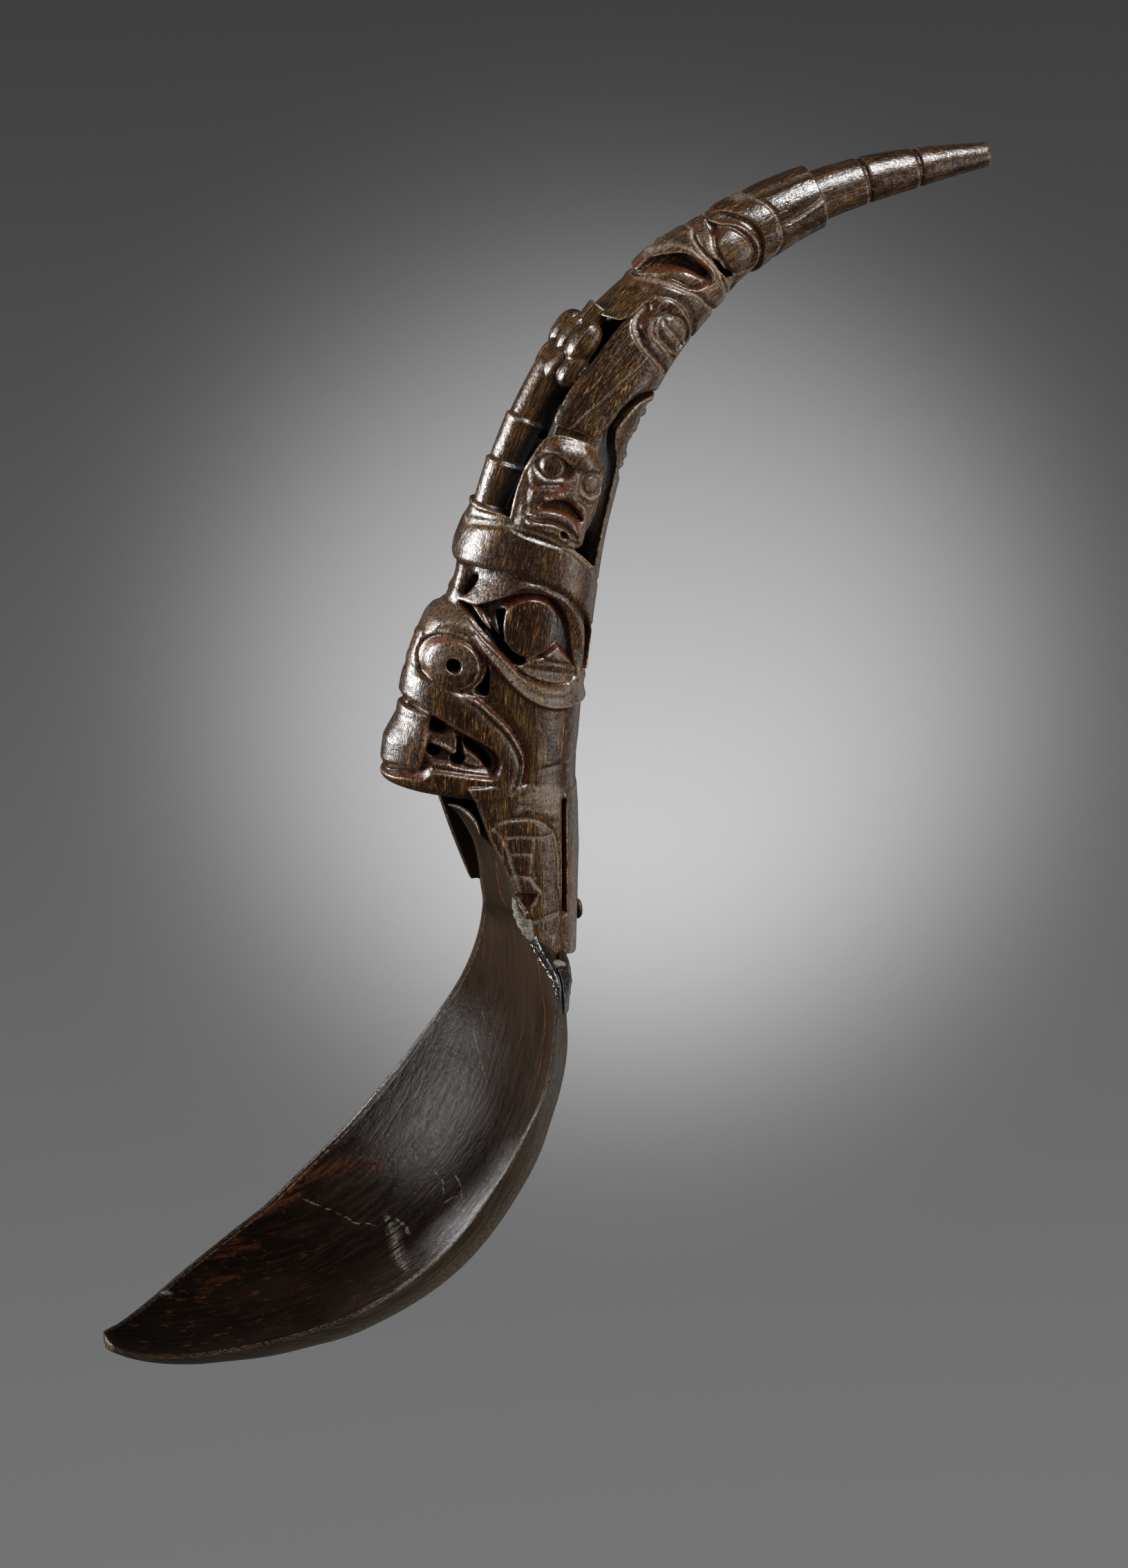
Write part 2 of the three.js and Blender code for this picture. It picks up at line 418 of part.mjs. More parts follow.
const bend = (solid) => {
  const mesh = solid.getMesh();
  const points = [];
  for (let i = 0; i < mesh.numVert; i++) {
    points.push(...bendPoint(...mesh.vertProperties.slice(i * mesh.numProp, i * mesh.numProp + 3)));
  }
  return toSolid(points, mesh.triVerts);
};
let handle = bend(head.add(legs).simplify(SMALLEST_FORM));

// Bowl with its tang.
const rows = BOWL.map(([x, z, half, depth], i) => {
  const before = BOWL[Math.max(i - 1, 0)];
  const after = BOWL[Math.min(i + 1, BOWL.length - 1)];
  const run = new THREE.Vector2(after[0] - before[0], after[1] - before[1]).normalize();
  return { x, z, half, depth, out: new THREE.Vector2(run.y, -run.x) };
});

// Half section from the rim down to the keel and up again, as points (across, depth).
function trough(half, depth, count) {
  const line = [];
  for (let k = 0; k <= count; k++) {
    const y = -half * Math.cos((Math.PI * k) / count);
    line.push([y, depth * (1 - Math.pow(Math.abs(y) / half, BOWL_BELLY))]);
  }
  return line;
}

const place = ({ x, z, out }, [y, d]) => [x + out.x * d, y, z + out.y * d];
const BOWL_SIDES = 18;
const bowlRings = rows.map((row) => {
  const outer = trough(row.half, row.depth, BOWL_SIDES);
  const inner = trough(row.half - BOWL_WALL, Math.max(row.depth - BOWL_WALL, 0.3), BOWL_SIDES).reverse();
  return [...outer, ...inner].map((p) => place(row, p));
});
let bowl = loft(bowlRings, true);

// Room for the tang in the socket: the trough filled forward, with a little clearance.
const seatRows = rows.filter((row) => row.z > -6);
const seat = loft(seatRows.map((row, i) => {
  const grown = trough(row.half + SEAT_GAP, row.depth + SEAT_GAP, BOWL_SIDES);
  const lift = i === seatRows.length - 1 ? SEAT_GAP : 0;
  return [...grown, [row.half + SEAT_GAP, -30], [-row.half - SEAT_GAP, -30]]
    .map((p) => place({ ...row, z: row.z + lift }, p));
}));
handle = handle.subtract(seat);

// Cross-section of the bowl at any height on the tang's side.
const deepest = rows.reduce((best, row, k) => (row.depth > rows[best].depth ? k : best), 0);
function rowAt(z) {
  const i = rows.findIndex((row, k) => k > deepest && row.z >= z);
  const [a, b] = [rows[i - 1], rows[i]];
  const t = (z - a.z) / (b.z - a.z);
  const mix = (key) => a[key] + (b[key] - a[key]) * t;
  return { x: mix("x"), z, half: mix("half"), depth: mix("depth"), out: a.out.clone().lerp(b.out, t).normalize() };
}

// Rounded bead on the inside of the bowl, along its near rim.
function filling({ low, high, edge, width, height }) {
  const rings = [];
  for (let r = 0; r <= FILLING_RINGS; r++) {
    const row = rowAt(low + ((high - low) * r) / FILLING_RINGS);
    const swell = 0.35 + 0.65 * Math.sin((Math.PI * r) / FILLING_RINGS);
    const [half, depth] = [row.half - BOWL_WALL, row.depth - BOWL_WALL];
    const floor = (y) => depth * (1 - Math.pow(Math.abs(y) / half, BOWL_BELLY)) - SEAT_GAP;
    const [base, top] = [[], []];
    for (let k = 0; k <= 5; k++) {
      const y = -row.half + edge + (width * k) / 5;
      const rise = height * swell * (0.3 + 0.7 * Math.sin((Math.PI * k) / 5));
      base.push([y, floor(y)]);
      top.unshift([y, floor(y) - rise]);
    }
    rings.push([...base, ...top].map((p) => place(row, p)));
  }
  return loft(rings, true);
}
const pitchBead = filling(PITCH_BEAD);
const fillerPatch = filling(FILLER_PATCH);

// Pitch foot: a skin around the back of the tang that stops short of the legs.
const footRings = [];
for (let r = 0; r <= FILLING_RINGS; r++) {
  const row = rowAt(PITCH_FOOT.low + ((PITCH_FOOT.high - PITCH_FOOT.low) * r) / FILLING_RINGS);
  const skin = SEAT_GAP + PITCH_FOOT.thickness * (0.25 + 0.75 * (r / FILLING_RINGS));
  const line = (grow) => trough(row.half + grow, row.depth + grow, BOWL_SIDES)
    .filter(([y]) => Math.abs(y) < row.half * PITCH_FOOT.share);
  footRings.push([...line(skin), ...line(SEAT_GAP).reverse()].map((p) => place(row, p)));
}
const downByGap = (outline) => outline.map(([x, s]) => [x, s - SEAT_GAP]);
const legShadow = bend(slab(downByGap(LEG_NEAR), 0, FAR_OUT).add(slab(downByGap(LEG_FAR), -FAR_OUT, OVERLAP)));
const pitchFoot = loft(footRings, true).subtract(legShadow);

// Rivet head on the back, its shank through the socket into the tang.
const tangRow = rows.reduce((a, b) => (Math.abs(b.z - RIVET_Z) < Math.abs(a.z - RIVET_Z) ? b : a));
const rivetFrom = tangRow.x + tangRow.depth - BOWL_WALL + 0.2;
const backAt = bendPoint(HORN[1][2] - LEG_STEP, 0, RIVET_Z)[0];
const alongX = new THREE.Matrix4().makeRotationZ(-Math.PI / 2).setPosition(0, 0, RIVET_Z);
const pin = (radius, from, to) => fromGeometry(new THREE.LatheGeometry(
  [new THREE.Vector2(0, from), new THREE.Vector2(radius, from), new THREE.Vector2(radius, to),
    new THREE.Vector2(0, to)], 18), alongX);
const rivet = fromGeometry(new THREE.LatheGeometry([
  new THREE.Vector2(0, rivetFrom), new THREE.Vector2(RIVET_RADIUS, rivetFrom),
  new THREE.Vector2(RIVET_RADIUS, backAt + SEAT_GAP), new THREE.Vector2(RIVET_HEAD, backAt + SEAT_GAP),
  new THREE.Vector2(RIVET_HEAD * 0.8, backAt + SEAT_GAP + RIVET_HEAD_DEPTH * 0.8),
  new THREE.Vector2(0, backAt + SEAT_GAP + RIVET_HEAD_DEPTH)], 18), alongX);
const rivetRoom = pin(RIVET_RADIUS + SEAT_GAP, rivetFrom - tangRow.depth, backAt + RIVET_HEAD_DEPTH);
bowl = bowl.subtract(rivetRoom);
handle = handle.subtract(rivetRoom);

const pieces = [
  ["bowl", bowl, { color: 0x4a3d30, roughness: 0.35 }],
  ["handle", handle, { color: 0x3a2c20, roughness: 0.4 }],
  ["rivet", rivet, { color: 0x6b4a30, roughness: 0.5, metalness: 0.8 }],
  ["pitch_bead", pitchBead, { color: 0x171310, roughness: 0.25 }],
  ["pitch_foot", pitchFoot, { color: 0x171310, roughness: 0.25 }],
  ["filler_patch", fillerPatch, { color: 0x8f8675, roughness: 0.7 }],
];

// The origin is the middle of the spoon's extent at the height of its lowest point.
const extent = new THREE.Box3();
for (const [, solid] of pieces) {
  const { min, max } = solid.boundingBox();
  extent.union(new THREE.Box3(new THREE.Vector3(...min), new THREE.Vector3(...max)));
}
const middle = extent.getCenter(new THREE.Vector3());

const group = new THREE.Group();
for (const [name, solid, look] of pieces) {
  const mesh = solid.translate([-middle.x, -middle.y, -extent.min.z]).getMesh();
  const points = new Float32Array(mesh.numVert * 3);
  for (let i = 0; i < mesh.numVert; i++) {
    points.set(mesh.vertProperties.slice(i * mesh.numProp, i * mesh.numProp + 3), i * 3);
  }
  const geometry = new THREE.BufferGeometry();
  geometry.setAttribute("position", new THREE.BufferAttribute(points, 3));
  geometry.setIndex(new THREE.BufferAttribute(new Uint32Array(mesh.triVerts), 1));
  geometry.computeVertexNormals();
  const made = new THREE.Mesh(geometry, new THREE.MeshStandardMaterial(look));
  made.name = name;
  group.add(made);
}

export default group;
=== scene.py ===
import math

import bpy
import numpy as np
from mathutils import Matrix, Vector


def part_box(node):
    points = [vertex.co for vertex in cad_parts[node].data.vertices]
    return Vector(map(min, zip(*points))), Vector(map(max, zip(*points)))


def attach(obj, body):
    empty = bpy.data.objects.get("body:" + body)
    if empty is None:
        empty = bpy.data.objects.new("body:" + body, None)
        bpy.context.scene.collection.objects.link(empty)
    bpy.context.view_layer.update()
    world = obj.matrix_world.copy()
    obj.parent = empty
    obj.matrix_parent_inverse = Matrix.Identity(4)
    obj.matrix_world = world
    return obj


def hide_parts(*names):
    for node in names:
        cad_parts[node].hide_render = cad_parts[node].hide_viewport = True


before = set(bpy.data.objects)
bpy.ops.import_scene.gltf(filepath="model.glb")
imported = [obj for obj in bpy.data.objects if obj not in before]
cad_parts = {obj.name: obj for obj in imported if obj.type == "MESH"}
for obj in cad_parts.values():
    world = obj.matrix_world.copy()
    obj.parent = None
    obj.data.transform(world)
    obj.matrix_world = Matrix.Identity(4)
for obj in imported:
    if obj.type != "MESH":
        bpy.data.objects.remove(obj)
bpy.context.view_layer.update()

# Lengths are millimetres in the shapes below and metres in the finished meshes. The handle is carved
# as a straight horn: x runs behind its centre line, y across (near side negative), s along it.
MM = 0.001
SHIFT = np.array([4.667072, 0.0, -74.849075])      # middle of the spoon's extent and its lowest point

# ---------------------------------------------------------------- horn envelope and centre line
TIP_STATION = 213.5
SPINE = np.array([[-2.2, 0.0], [-10.1, 120.2], [26.7, 150.6], [96.6, 154.8]])
# [distance along, front, back, side]
HORN = np.array([
    [0, 13.0, 12.8, 13.2], [12, 13.4, 13.8, 13.6], [24, 14.0, 14.4, 14.0], [33, 14.4, 14.2, 14.0],
    [37, 25.8, 13.9, 14.0], [44, 26.2, 13.9, 14.0], [48, 25.8, 14.2, 14.0], [52, 23.4, 14.3, 14.0],
    [57, 22.9, 14.4, 14.0], [63, 22.3, 14.3, 14.0], [68, 20.7, 14.3, 14.0], [70.5, 19.0, 14.2, 14.0],
    [73.5, 15.9, 14.0, 14.0], [79, 15.4, 13.8, 13.9], [84, 15.7, 13.5, 13.7], [90, 14.6, 13.1, 13.3],
    [99, 14.5, 12.6, 12.8], [108, 13.2, 11.8, 12.2], [116, 12.3, 11.5, 11.7], [124, 10.4, 11.1, 11.2],
    [132, 8.2, 10.4, 10.4], [138, 7.4, 9.9, 9.8], [141, 8.2, 9.7, 9.6], [146, 8.4, 9.1, 9.2],
    [154, 8.0, 8.2, 8.4], [162, 7.5, 7.2, 7.7], [169, 7.3, 6.4, 7.1], [176.4, 6.9, 5.8, 6.6]])
TIP = np.array([
    [174, 5.4, 4.9, 5.1], [181, 5.2, 4.6, 4.8], [186.8, 4.9, 4.4, 4.6], [192, 4.5, 4.2, 4.3],
    [198, 3.9, 3.9, 3.9], [204, 3.3, 3.3, 3.3], [210, 2.7, 2.7, 2.7], [213.5, 2.4, 2.4, 2.4]])
TIP_RINGS = [186.8, 198.0]
HOLLOW = np.array([[-2, 9.2], [38, 8.8], [60, 7.6], [80, 5.6], [96, 5.0]])
SHELL = 4.2

GRID = 0.25                                         # spacing of the carving field
FINE = GRID / 2                                     # spacing of the relief maps
x_axis = np.arange(-28.8, 16.2, GRID)
y_axis = np.arange(0.0, 15.6, GRID)
s_axis = np.arange(-1.44, 215.6, GRID)
fine_x = np.arange(2 * len(x_axis) - 1) * FINE + x_axis[0]
fine_s = np.arange(2 * len(s_axis) - 1) * FINE + s_axis[0]


def ease(value):
    """Smooth step from 0 to 1 while value goes from 0 to 1."""
    t = np.clip(value, 0.0, 1.0)
    return t * t * (3.0 - 2.0 * t)


def curve(points, closed=False, parts=5):
    """Points of a smooth line through the given ones."""
    p = np.array(points, float)
    if closed:
        p = np.vstack([p[-1], p, p[0], p[1]])
    else:
        p = np.vstack([2 * p[0] - p[1], p, 2 * p[-1] - p[-2]])
    out = []
    for a, b, c, d in zip(p[:-3], p[1:-2], p[2:-1], p[3:]):
        for k in range(parts):
            t = k / parts
            out.append(0.5 * (2 * b + (c - a) * t + (2 * a - 5 * b + 4 * c - d) * t * t
                              + (3 * b - a - 3 * c + d) * t ** 3))
    if not closed:
        out.append(p[-2])
    return np.array(out)


def P(*numbers):
    """Points written as one run of numbers, x and s of each in turn."""
    return np.array(numbers, float).reshape(-1, 2)


def smooth(*numbers):
    """Open smooth line."""
    return curve(P(*numbers))


def loop(*numbers, parts=5):
    """Closed smooth outline."""
    return curve(P(*numbers), closed=True, parts=parts)


class Patch:
    """A rectangle of the relief map around some points, with the map's own x and s."""

    def __init__(self, points, room=6.0):
        lo, hi = points.min(0) - room, points.max(0) + room
        i0, i1 = np.searchsorted(fine_x, [lo[0], hi[0]])
        j0, j1 = np.searchsorted(fine_s, [lo[1], hi[1]])
        self.at = (slice(i0, i1), slice(j0, j1))
        self.x, self.s = np.meshgrid(fine_x[i0:i1], fine_s[j0:j1], indexing="ij")


def line_distance(x, s, points, closed=False):
    """Distance from each (x, s) to a line."""
    ends = np.vstack([points, points[:1]]) if closed else points
    best = np.full(x.shape, 1e9)
    for a, b in zip(ends[:-1], ends[1:]):
        d = b - a
        t = np.clip(((x - a[0]) * d[0] + (s - a[1]) * d[1]) / max(d @ d, 1e-9), 0, 1)
        best = np.minimum(best, (x - a[0] - t * d[0]) ** 2 + (s - a[1] - t * d[1]) ** 2)
    return np.sqrt(best)


def inside(x, s, points):
    """Distance to the edge of an outline, positive inside it."""
    odd = np.zeros(x.shape, bool)
    for a, b in zip(points, np.roll(points, -1, 0)):
        if a[1] == b[1]:
            continue
        cross = (a[1] > s) != (b[1] > s)
        odd ^= cross & (x < (b[0] - a[0]) * (s - a[1]) / (b[1] - a[1]) + a[0])
    return np.where(odd, 1, -1) * line_distance(x, s, points, closed=True)


def soften(a, reach):
    """Average of a map over about reach millimetres."""
    n = max(1, int(round(reach / FINE)))
    for axis in (0, 1):
        for _ in range(2):
            pad = [(n, n) if k == axis else (0, 0) for k in (0, 1)]
            total = np.cumsum(np.pad(a, pad, mode="edge"), axis=axis)
            total = np.insert(total, 0, 0, axis=axis)
            width = 2 * n + 1
            take = np.take(total, range(width, total.shape[axis]), axis=axis)
            a = (take - np.take(total, range(0, total.shape[axis] - width), axis=axis)) / width
    return a


# ---------------------------------------------------------------- relief maps of the horn's side
relief = np.zeros((len(fine_x), len(fine_s)))       # depth below the horn's surface
dust_and_glints = np.zeros_like(relief)                        # pale dust in the lines, and in places painted glints
wear_and_highlight = np.zeros_like(relief)                        # rubbed, greyer horn, and in places a painted highlight
holes = np.full_like(relief, -9.0)                  # cut right through, positive inside
DUST_WIDTH = 0.85                                   # of the width of the line it lies in


def carve(outline, level, edge=0.35, wear_and_highlight_level=None):
    """Brings the inside of an outline to a level; level may be a function of (x, s, distance to the edge)."""
    points = np.asarray(outline, float)
    p = Patch(points, 2.0)
    d = inside(p.x, p.s, points)
    m = ease(0.5 + d / (2 * edge))
    value = level(p.x, p.s, d) if callable(level) else level
    relief[p.at] += (value - relief[p.at]) * m
    if wear_and_highlight_level is not None:
        wear_and_highlight[p.at] += (wear_and_highlight_level - wear_and_highlight[p.at]) * m


def at_edge(low, more, reach):
    """Level for carve: low in the middle, and more than that at the edge."""
    return lambda x, s, d: low + more * (1 - ease(d / reach))


def within(start, more, reach):
    """Level for carve: start at the edge, and more than that further in."""
    return lambda x, s, d: start + more * ease(d / reach)


def groove(line, width, depth, dust_and_glint=0.0):
    """Cuts (or with a negative depth raises) a soft line."""
    points = np.asarray(line, float)
    p = Patch(points, 3 * width + 1)
    d = line_distance(p.x, p.s, points)
    relief[p.at] += depth * np.exp(-(d / width) ** 2)
    if dust_and_glint:
        dust_and_glints[p.at] = np.maximum(dust_and_glints[p.at], dust_and_glint * np.exp(-(d / (DUST_WIDTH * width)) ** 2))


def pierce(outline, room=0.0):
    """Cuts an outline through the horn, wider by room."""
    points = np.asarray(outline, float)
    p = Patch(points, 4.0)
    holes[p.at] = np.maximum(holes[p.at], inside(p.x, p.s, points) + room)


def disc(at, radius, rim, rise, edge=0.25):
    """Domed disc: the level at its rim, and how much its middle rises above that."""
    a = np.linspace(0, 2 * np.pi, 49)[:-1]
    ring = np.stack([at[0] + radius * np.cos(a), at[1] + radius * np.sin(a)], 1)

    def level(x, s, d):
        r2 = ((x - at[0]) ** 2 + (s - at[1]) ** 2) / radius ** 2
        return rim - rise * np.sqrt(np.clip(1 - r2, 0, 1))
    carve(ring, level, edge)
    return ring


# Beast's head: headband and what lies under it.
BAND_LOW = smooth(-19,79.2, -16.8,80.3, -14.5,81.1, -10,82, -5.7,81.8, -1.5,81.1, 1.8,80, 5.7,77.8, 9.1,75.1,
    11.5,72.3, 13,68.6, 13,64, 12.4,61.8)
BAND_HIGH = smooth(-19,86.4, -16,87.3, -14.1,88.7, -11.3,89.9, -8,90.4, -5.2,90.4, -1.6,89.7, 2.6,88.3,
    5.9,86.5, 9.5,84.2, 13,81, 17,79.6)
SBAND_HIGH = smooth(-19.6,72.9, -16.6,73.2, -14.5,72.6, -11.2,69.3, -8.2,66.9, -5.4,64.5, -3.1,62.5, 0.2,61,
    3.5,60.3, 7.2,60.4, 9.5,61.8, 12.3,61.9, 17,61.6)
SBAND_LOW = smooth(-20.7,65.3, -18.4,68.1, -15.9,69.6, -13.3,69.2, -12.2,68.1, -9.2,65.1, -6,61.8, -2.7,59,
    0.5,57.2, 3.9,56.1, 8.1,55.7, 12.2,55.8, 17,56)
LID_OUT = smooth(-14.6,73.6, -12.3,74.9, -9.2,77.3, -6.4,79.5, -2.9,80.2, 1.3,79.1, 5.1,76.9, 8.3,72.8,
    10.2,68.5, 10.4,63.8, 9.3,61.9)
LID_IN = smooth(-12.2,74.5, -8.6,76.8, -5.1,78.4, -1,78.7, 2,77.4, 4.8,74.2, 6.9,69.4, 8.9,63.2)
LENS_LOW = P(7.7,64.4, 4.2,65.3, 1.6,65.9, -2.1,65.9, -4.5,66.6, -6.1,67.9, -8.1,69, -11,71.2, -13.6,73.4)
ORBIT_FRONT = P(-16.2,74.6, -15.9,77, -15.4,79.4, -15.6,80.8)
orbit_line = np.vstack([BAND_LOW[8:], SBAND_HIGH[::-1][5:-8], ORBIT_FRONT])

carve(P(-30,79.6, -19,79.2, -16.8,80.3, -14.5,81.1, -14.2,73, -30,73), 0.5, 0.5)  # nose bridge


def brow(x, s, d):
    """Slope from the lid's crest up to the headband."""
    crest = line_distance(x, s, LID_OUT)
    return 0.3 + np.clip(0.62 * crest, 0, 2.0)


carve(orbit_line, brow, 0.3, 0.25)
lid_area = np.vstack([LID_OUT, P(7,62.6, 2,64.2, -4,65.6, -8.5,68.6, -14.6,73.2)])
carve(lid_area, lambda x, s, d: 0.3 + 0.55 * np.clip(d, 0, 2.4), 0.3)
carve(np.vstack([LID_IN, LENS_LOW]), 2.9, 0.3, 0.0)
# Front plane of the lens, lower wedge, ledge and the hollow under the eye.
carve(P(-14.5,74.2, -12.3,74.6, -10.7,73.7, -8.6,69.6, -8.2,69.1, -10.8,69.9, -13.5,72.2),
    lambda x, s, d: 1.5 - 0.35 * np.clip(d, 0, 1.2), 0.25, 0.7)
socket_low = loop(-5.8,65.4, -2,65.6, 2.9,65.4, 7.3,64.3, 9.3,62.6, 8.7,61, 5.6,60.6, 1.5,61.4, -2.3,62.9,
    -5,64.8)
carve(socket_low, within(1.2, 0.8, 2.4), 0.3)
carve(P(-4.5,66.9, -2.1,66.2, 1.6,66.3, 7.7,65, 8.9,63.2, 4.3,64.6, -0.8,65, -4.4,65.6), 1.55, 0.2)
carve(P(0.8,66.6, 2.6,67.7, 3.8,68.8, 5.8,66.8, 7.8,64.8, 4.2,65.5, 1.8,66.2), 1.1, 0.2, 1.0)
EYE = (-2.5, 72.2)
EYE_RADIUS = 5.85
eye_rim = disc(EYE, EYE_RADIUS, 0.95, 0.55)

# Band from the nostril to the cheek.
sband_line = np.vstack([SBAND_HIGH, SBAND_LOW[::-1]])


def sband(x, s, d):
    """S-shaped band: two raised edges with a hollow between them."""
    up = line_distance(x, s, SBAND_HIGH)
    low = line_distance(x, s, SBAND_LOW)
    t = up / (up + low + 1e-6)
    level = (0.75 * (1 - ease(up / 1.5)) + 0.5 * np.sin(np.pi * np.clip(t, 0, 1)) ** 2
             - 0.15 * ease((t - 0.75) / 0.25))
    return np.where(x < -13, 0.9 * (1 - ease(d / 1.8)) - 0.1, level)


# Cheek, with the facet that falls to the groove behind the lips.
LIP_RIDGE = smooth(-14.7,58.8, -13.1,57.8, -10.7,56.3, -8.3,54, -5.8,51.7, -3.5,48.6, -2.3,45.5, -2.4,43,
    -3.6,39.6)
GAP_TAIL = smooth(-13.3,59.1, -11.4,57.9, -8.7,55.8, -6.2,53.8, -3.9,51.1, -2.2,48.2, -1.5,45.6, -1.6,43,
    -2.2,41)
CHEEK_CREASE = smooth(-10.3,63.4, -7.8,60.8, -6.2,57.6, -3.9,54.1, -2,51.2, -0.4,47.6, -0.2,43.5, -0.8,40.8)
cheek_line = np.vstack([SBAND_LOW[22:], P(17,36, -3,36), GAP_TAIL[::-1], P(-10.4,60, -10.6,64)])
carve(cheek_line, 0.7, 0.25)


def facet(x, s, d):
    """Level that falls from the crease to the groove behind the lips."""
    crease = line_distance(x, s, CHEEK_CREASE)
    deep = line_distance(x, s, GAP_TAIL)
    return 0.7 + 1.7 * crease / (crease + deep + 1e-6)


carve(np.vstack([CHEEK_CREASE, GAP_TAIL[::-1]]), facet, 0.2)
# The S-band is painted rubbed grey, which partly stands in for its highlight.
carve(sband_line, sband, 0.25, 0.9)
groove(smooth(-2.5,42.2, 2,43.6, 7,43.9, 12,43.2), 0.35, 0.18)

# Nostril.
NOSTRIL = (-15.9, 63.5)
carve(loop(-30,61.6, -23,61.4, -20.2,60.8, -16.1,59.3, -13.1,58, -10.3,58.2, -9.8,60.2, -10.2,63.4,
    -11.4,66.6, -13.3,69.2, -15.9,69.5, -18.4,68, -20.7,65.3, -30,65), 1.4, 0.3)


def flare(x, s, d):
    """Rounded rim around the nostril."""
    r = np.hypot(x - NOSTRIL[0], s - NOSTRIL[1])
    return 0.55 + 0.9 * np.clip(np.abs(r - 5.9) / 1.0, 0, 1) ** 2


flare_line = loop(-22.2,61.6, -22.3,63.2, -21.8,65.4, -20.2,67.2, -17.6,69, -14.6,69.2, -12.2,67.4, -10.6,65,
    -11.6,63.2, -15.9,62, -20,61.4)
carve(flare_line, flare, 0.25, 0.7)
turn = np.linspace(0, 6.28, 40)[:-1]
carve(np.stack([NOSTRIL[0] + 5.25 * np.cos(turn), NOSTRIL[1] + 5.25 * np.sin(turn)], 1), 1.6, 0.2)
disc(NOSTRIL, 4.6, 0.5, 0.35)

# Lips, jaw, mouth, teeth and tongue.
lip_line = np.vstack([P(-30,61.9, -23,61.5, -20.2,60.8, -16.1,59.3), LIP_RIDGE, P(-8,36, -30,36)])
carve(lip_line, lambda x, s, d: 0.05 + 0.55 * (1 - ease(d / 1.1)) + 0.25 * (1 - ease(d / 3.5)), 0.22)
groove(LIP_RIDGE[4:-4], 0.5, -0.2)
p = Patch(LIP_RIDGE, 1)
rubbed = 0.8 * np.exp(-line_distance(p.x, p.s, LIP_RIDGE - [0.4, 0.4]) ** 2)
wear_and_highlight[p.at] = np.maximum(wear_and_highlight[p.at], rubbed)
MOUTH = loop(-23.9,56.3, -20.4,54.6, -17.7,53.2, -14.7,51.7, -11,49.8, -8,48, -6.6,46.2, -6.6,44.1, -7.8,42.7,
    -11.9,43.6, -15.2,44.3, -19,44.6, -20.6,42.4, -23.8,42.2, -31,42.6, -31,57.2, parts=3)
carve(MOUTH, 2.7, 0.25, 0.4)
carve(P(-19.2,50.6, -16.2,50.4, -14.4,51.3, -14.3,47.2, -15.2,46.9, -19,48.6), 1.9, 0.15)
carve(P(-13.1,48.4, -10.6,46.6, -8.9,44.8, -10.6,44.6, -12.7,45.4, -13.1,47), 1.8, 0.15)
carve(P(-19,45.3, -15.4,45.2, -15,44.7, -8.2,43.6, -7.6,42.4, -19,43.8), 1.4, 0.2)
for line in (P(-18.7,48.9, -16.7,48.3, -15,47.4), P(-15.2,46, -14.9,47.2, -14.4,47.5, -14.4,49.6), P(-12.6,46,
    -13,47, -13,49), P(-12.8,45.4, -10.6,44.7, -8.4,44)):
    groove(curve(line), 0.28, -0.6, 0.4)
for at, radius in (((-17.4, 51.8), 1.15), ((-13.9, 46.1), 1.15), ((-18.1, 47.2), 0.9)):
    disc(at, radius, 7.0, 0.0, 0.15)
carve(P(-13.5,46.6, -13.35,49.9, -13.95,49.9, -14.2,46.6), 6.0, 0.12)
carve(loop(-12.5,49.8, -11.4,48.9, -9.4,47.6, -7.8,45.8, -7.7,44.2, -8.7,44.8, -10.1,46.8, -12.5,48.6), 6.0,
    0.15)
TONGUE = np.vstack([P(-36,60, -18,60), curve(P(-18.2,54.6, -18.6,52.6, -18.9,50.9, -19.6,47.6, -20.4,44.4,
    -21.3,42.9, -23.8,42.5, -31,43), parts=3), P(-36,43)])
carve([[x, min(s, 56.3 if x < -23 else 54.9 - 0.47 * (x + 20.7))] for x, s in TONGUE],
      lambda x, s, d: 0.25 + 1.2 * (1 - ease(line_distance(x, s, TONGUE[2:]) / 1.6)), 0.2, 0.3)
groove(smooth(-25.7,42.9, -23.8,42.5, -20.7,42.5, -19,44), 0.4, 0.5, 0.4)

# Headband.
band_line = np.vstack([BAND_LOW[:46], P(13.5,70.5, 17,70), BAND_HIGH[::-1]])
carve(band_line, at_edge(-0.05, 0.4, 0.9), 0.22, 0.15)
groove(BAND_HIGH[:44], 0.35, 0.35, 0.7)
carve(P(-19,87, -16,87.9, -14.1,89.3, -11.3,90.5, -8,90.9, -5.2,90.8, -5.3,91.6, -8.5,91.8, -12,91.6,
    -16,90.2, -19,89), 0.55, 0.2, 0.5)

# Small face.
FACE = loop(-8,107.5, -5.6,108.9, -2.4,109.3, 0.1,109.2, 2.6,107.6, 4.5,105.2, 5.6,102.6, 6.1,98.8, 5.9,95,
    4.8,91.8, 3.4,88.6, -9.2,89.6, -9.9,91.9, -10.1,97, -9.8,100.8, -9.2,103.9, parts=4)
BROW = smooth(-9.6,102.6, -8.5,104.3, -7.1,105, -5.4,105.4, -3.6,104.7, -1.9,103.9, -0.8,103.3, 0.3,104.1,
    1.9,104.7, 3.7,104.6, 5.4,102.6)
carve(FACE, lambda x, s, d: 0.6 - 1.0 * ease(d / 3.4) - 0.75 * ease((s - 103.0) / 2.5) * ease(d / 2.0),
    0.3, 0.3)
carve(np.vstack([BROW, P(5.9,98, 3.4,97.2, 0.6,98.6, -0.4,101.4, -1.6,101, -3.4,99.8, -8.4,98, -9.7,100)]),
    at_edge(0.25, 0.35, 1.2), 0.3, 0.3)
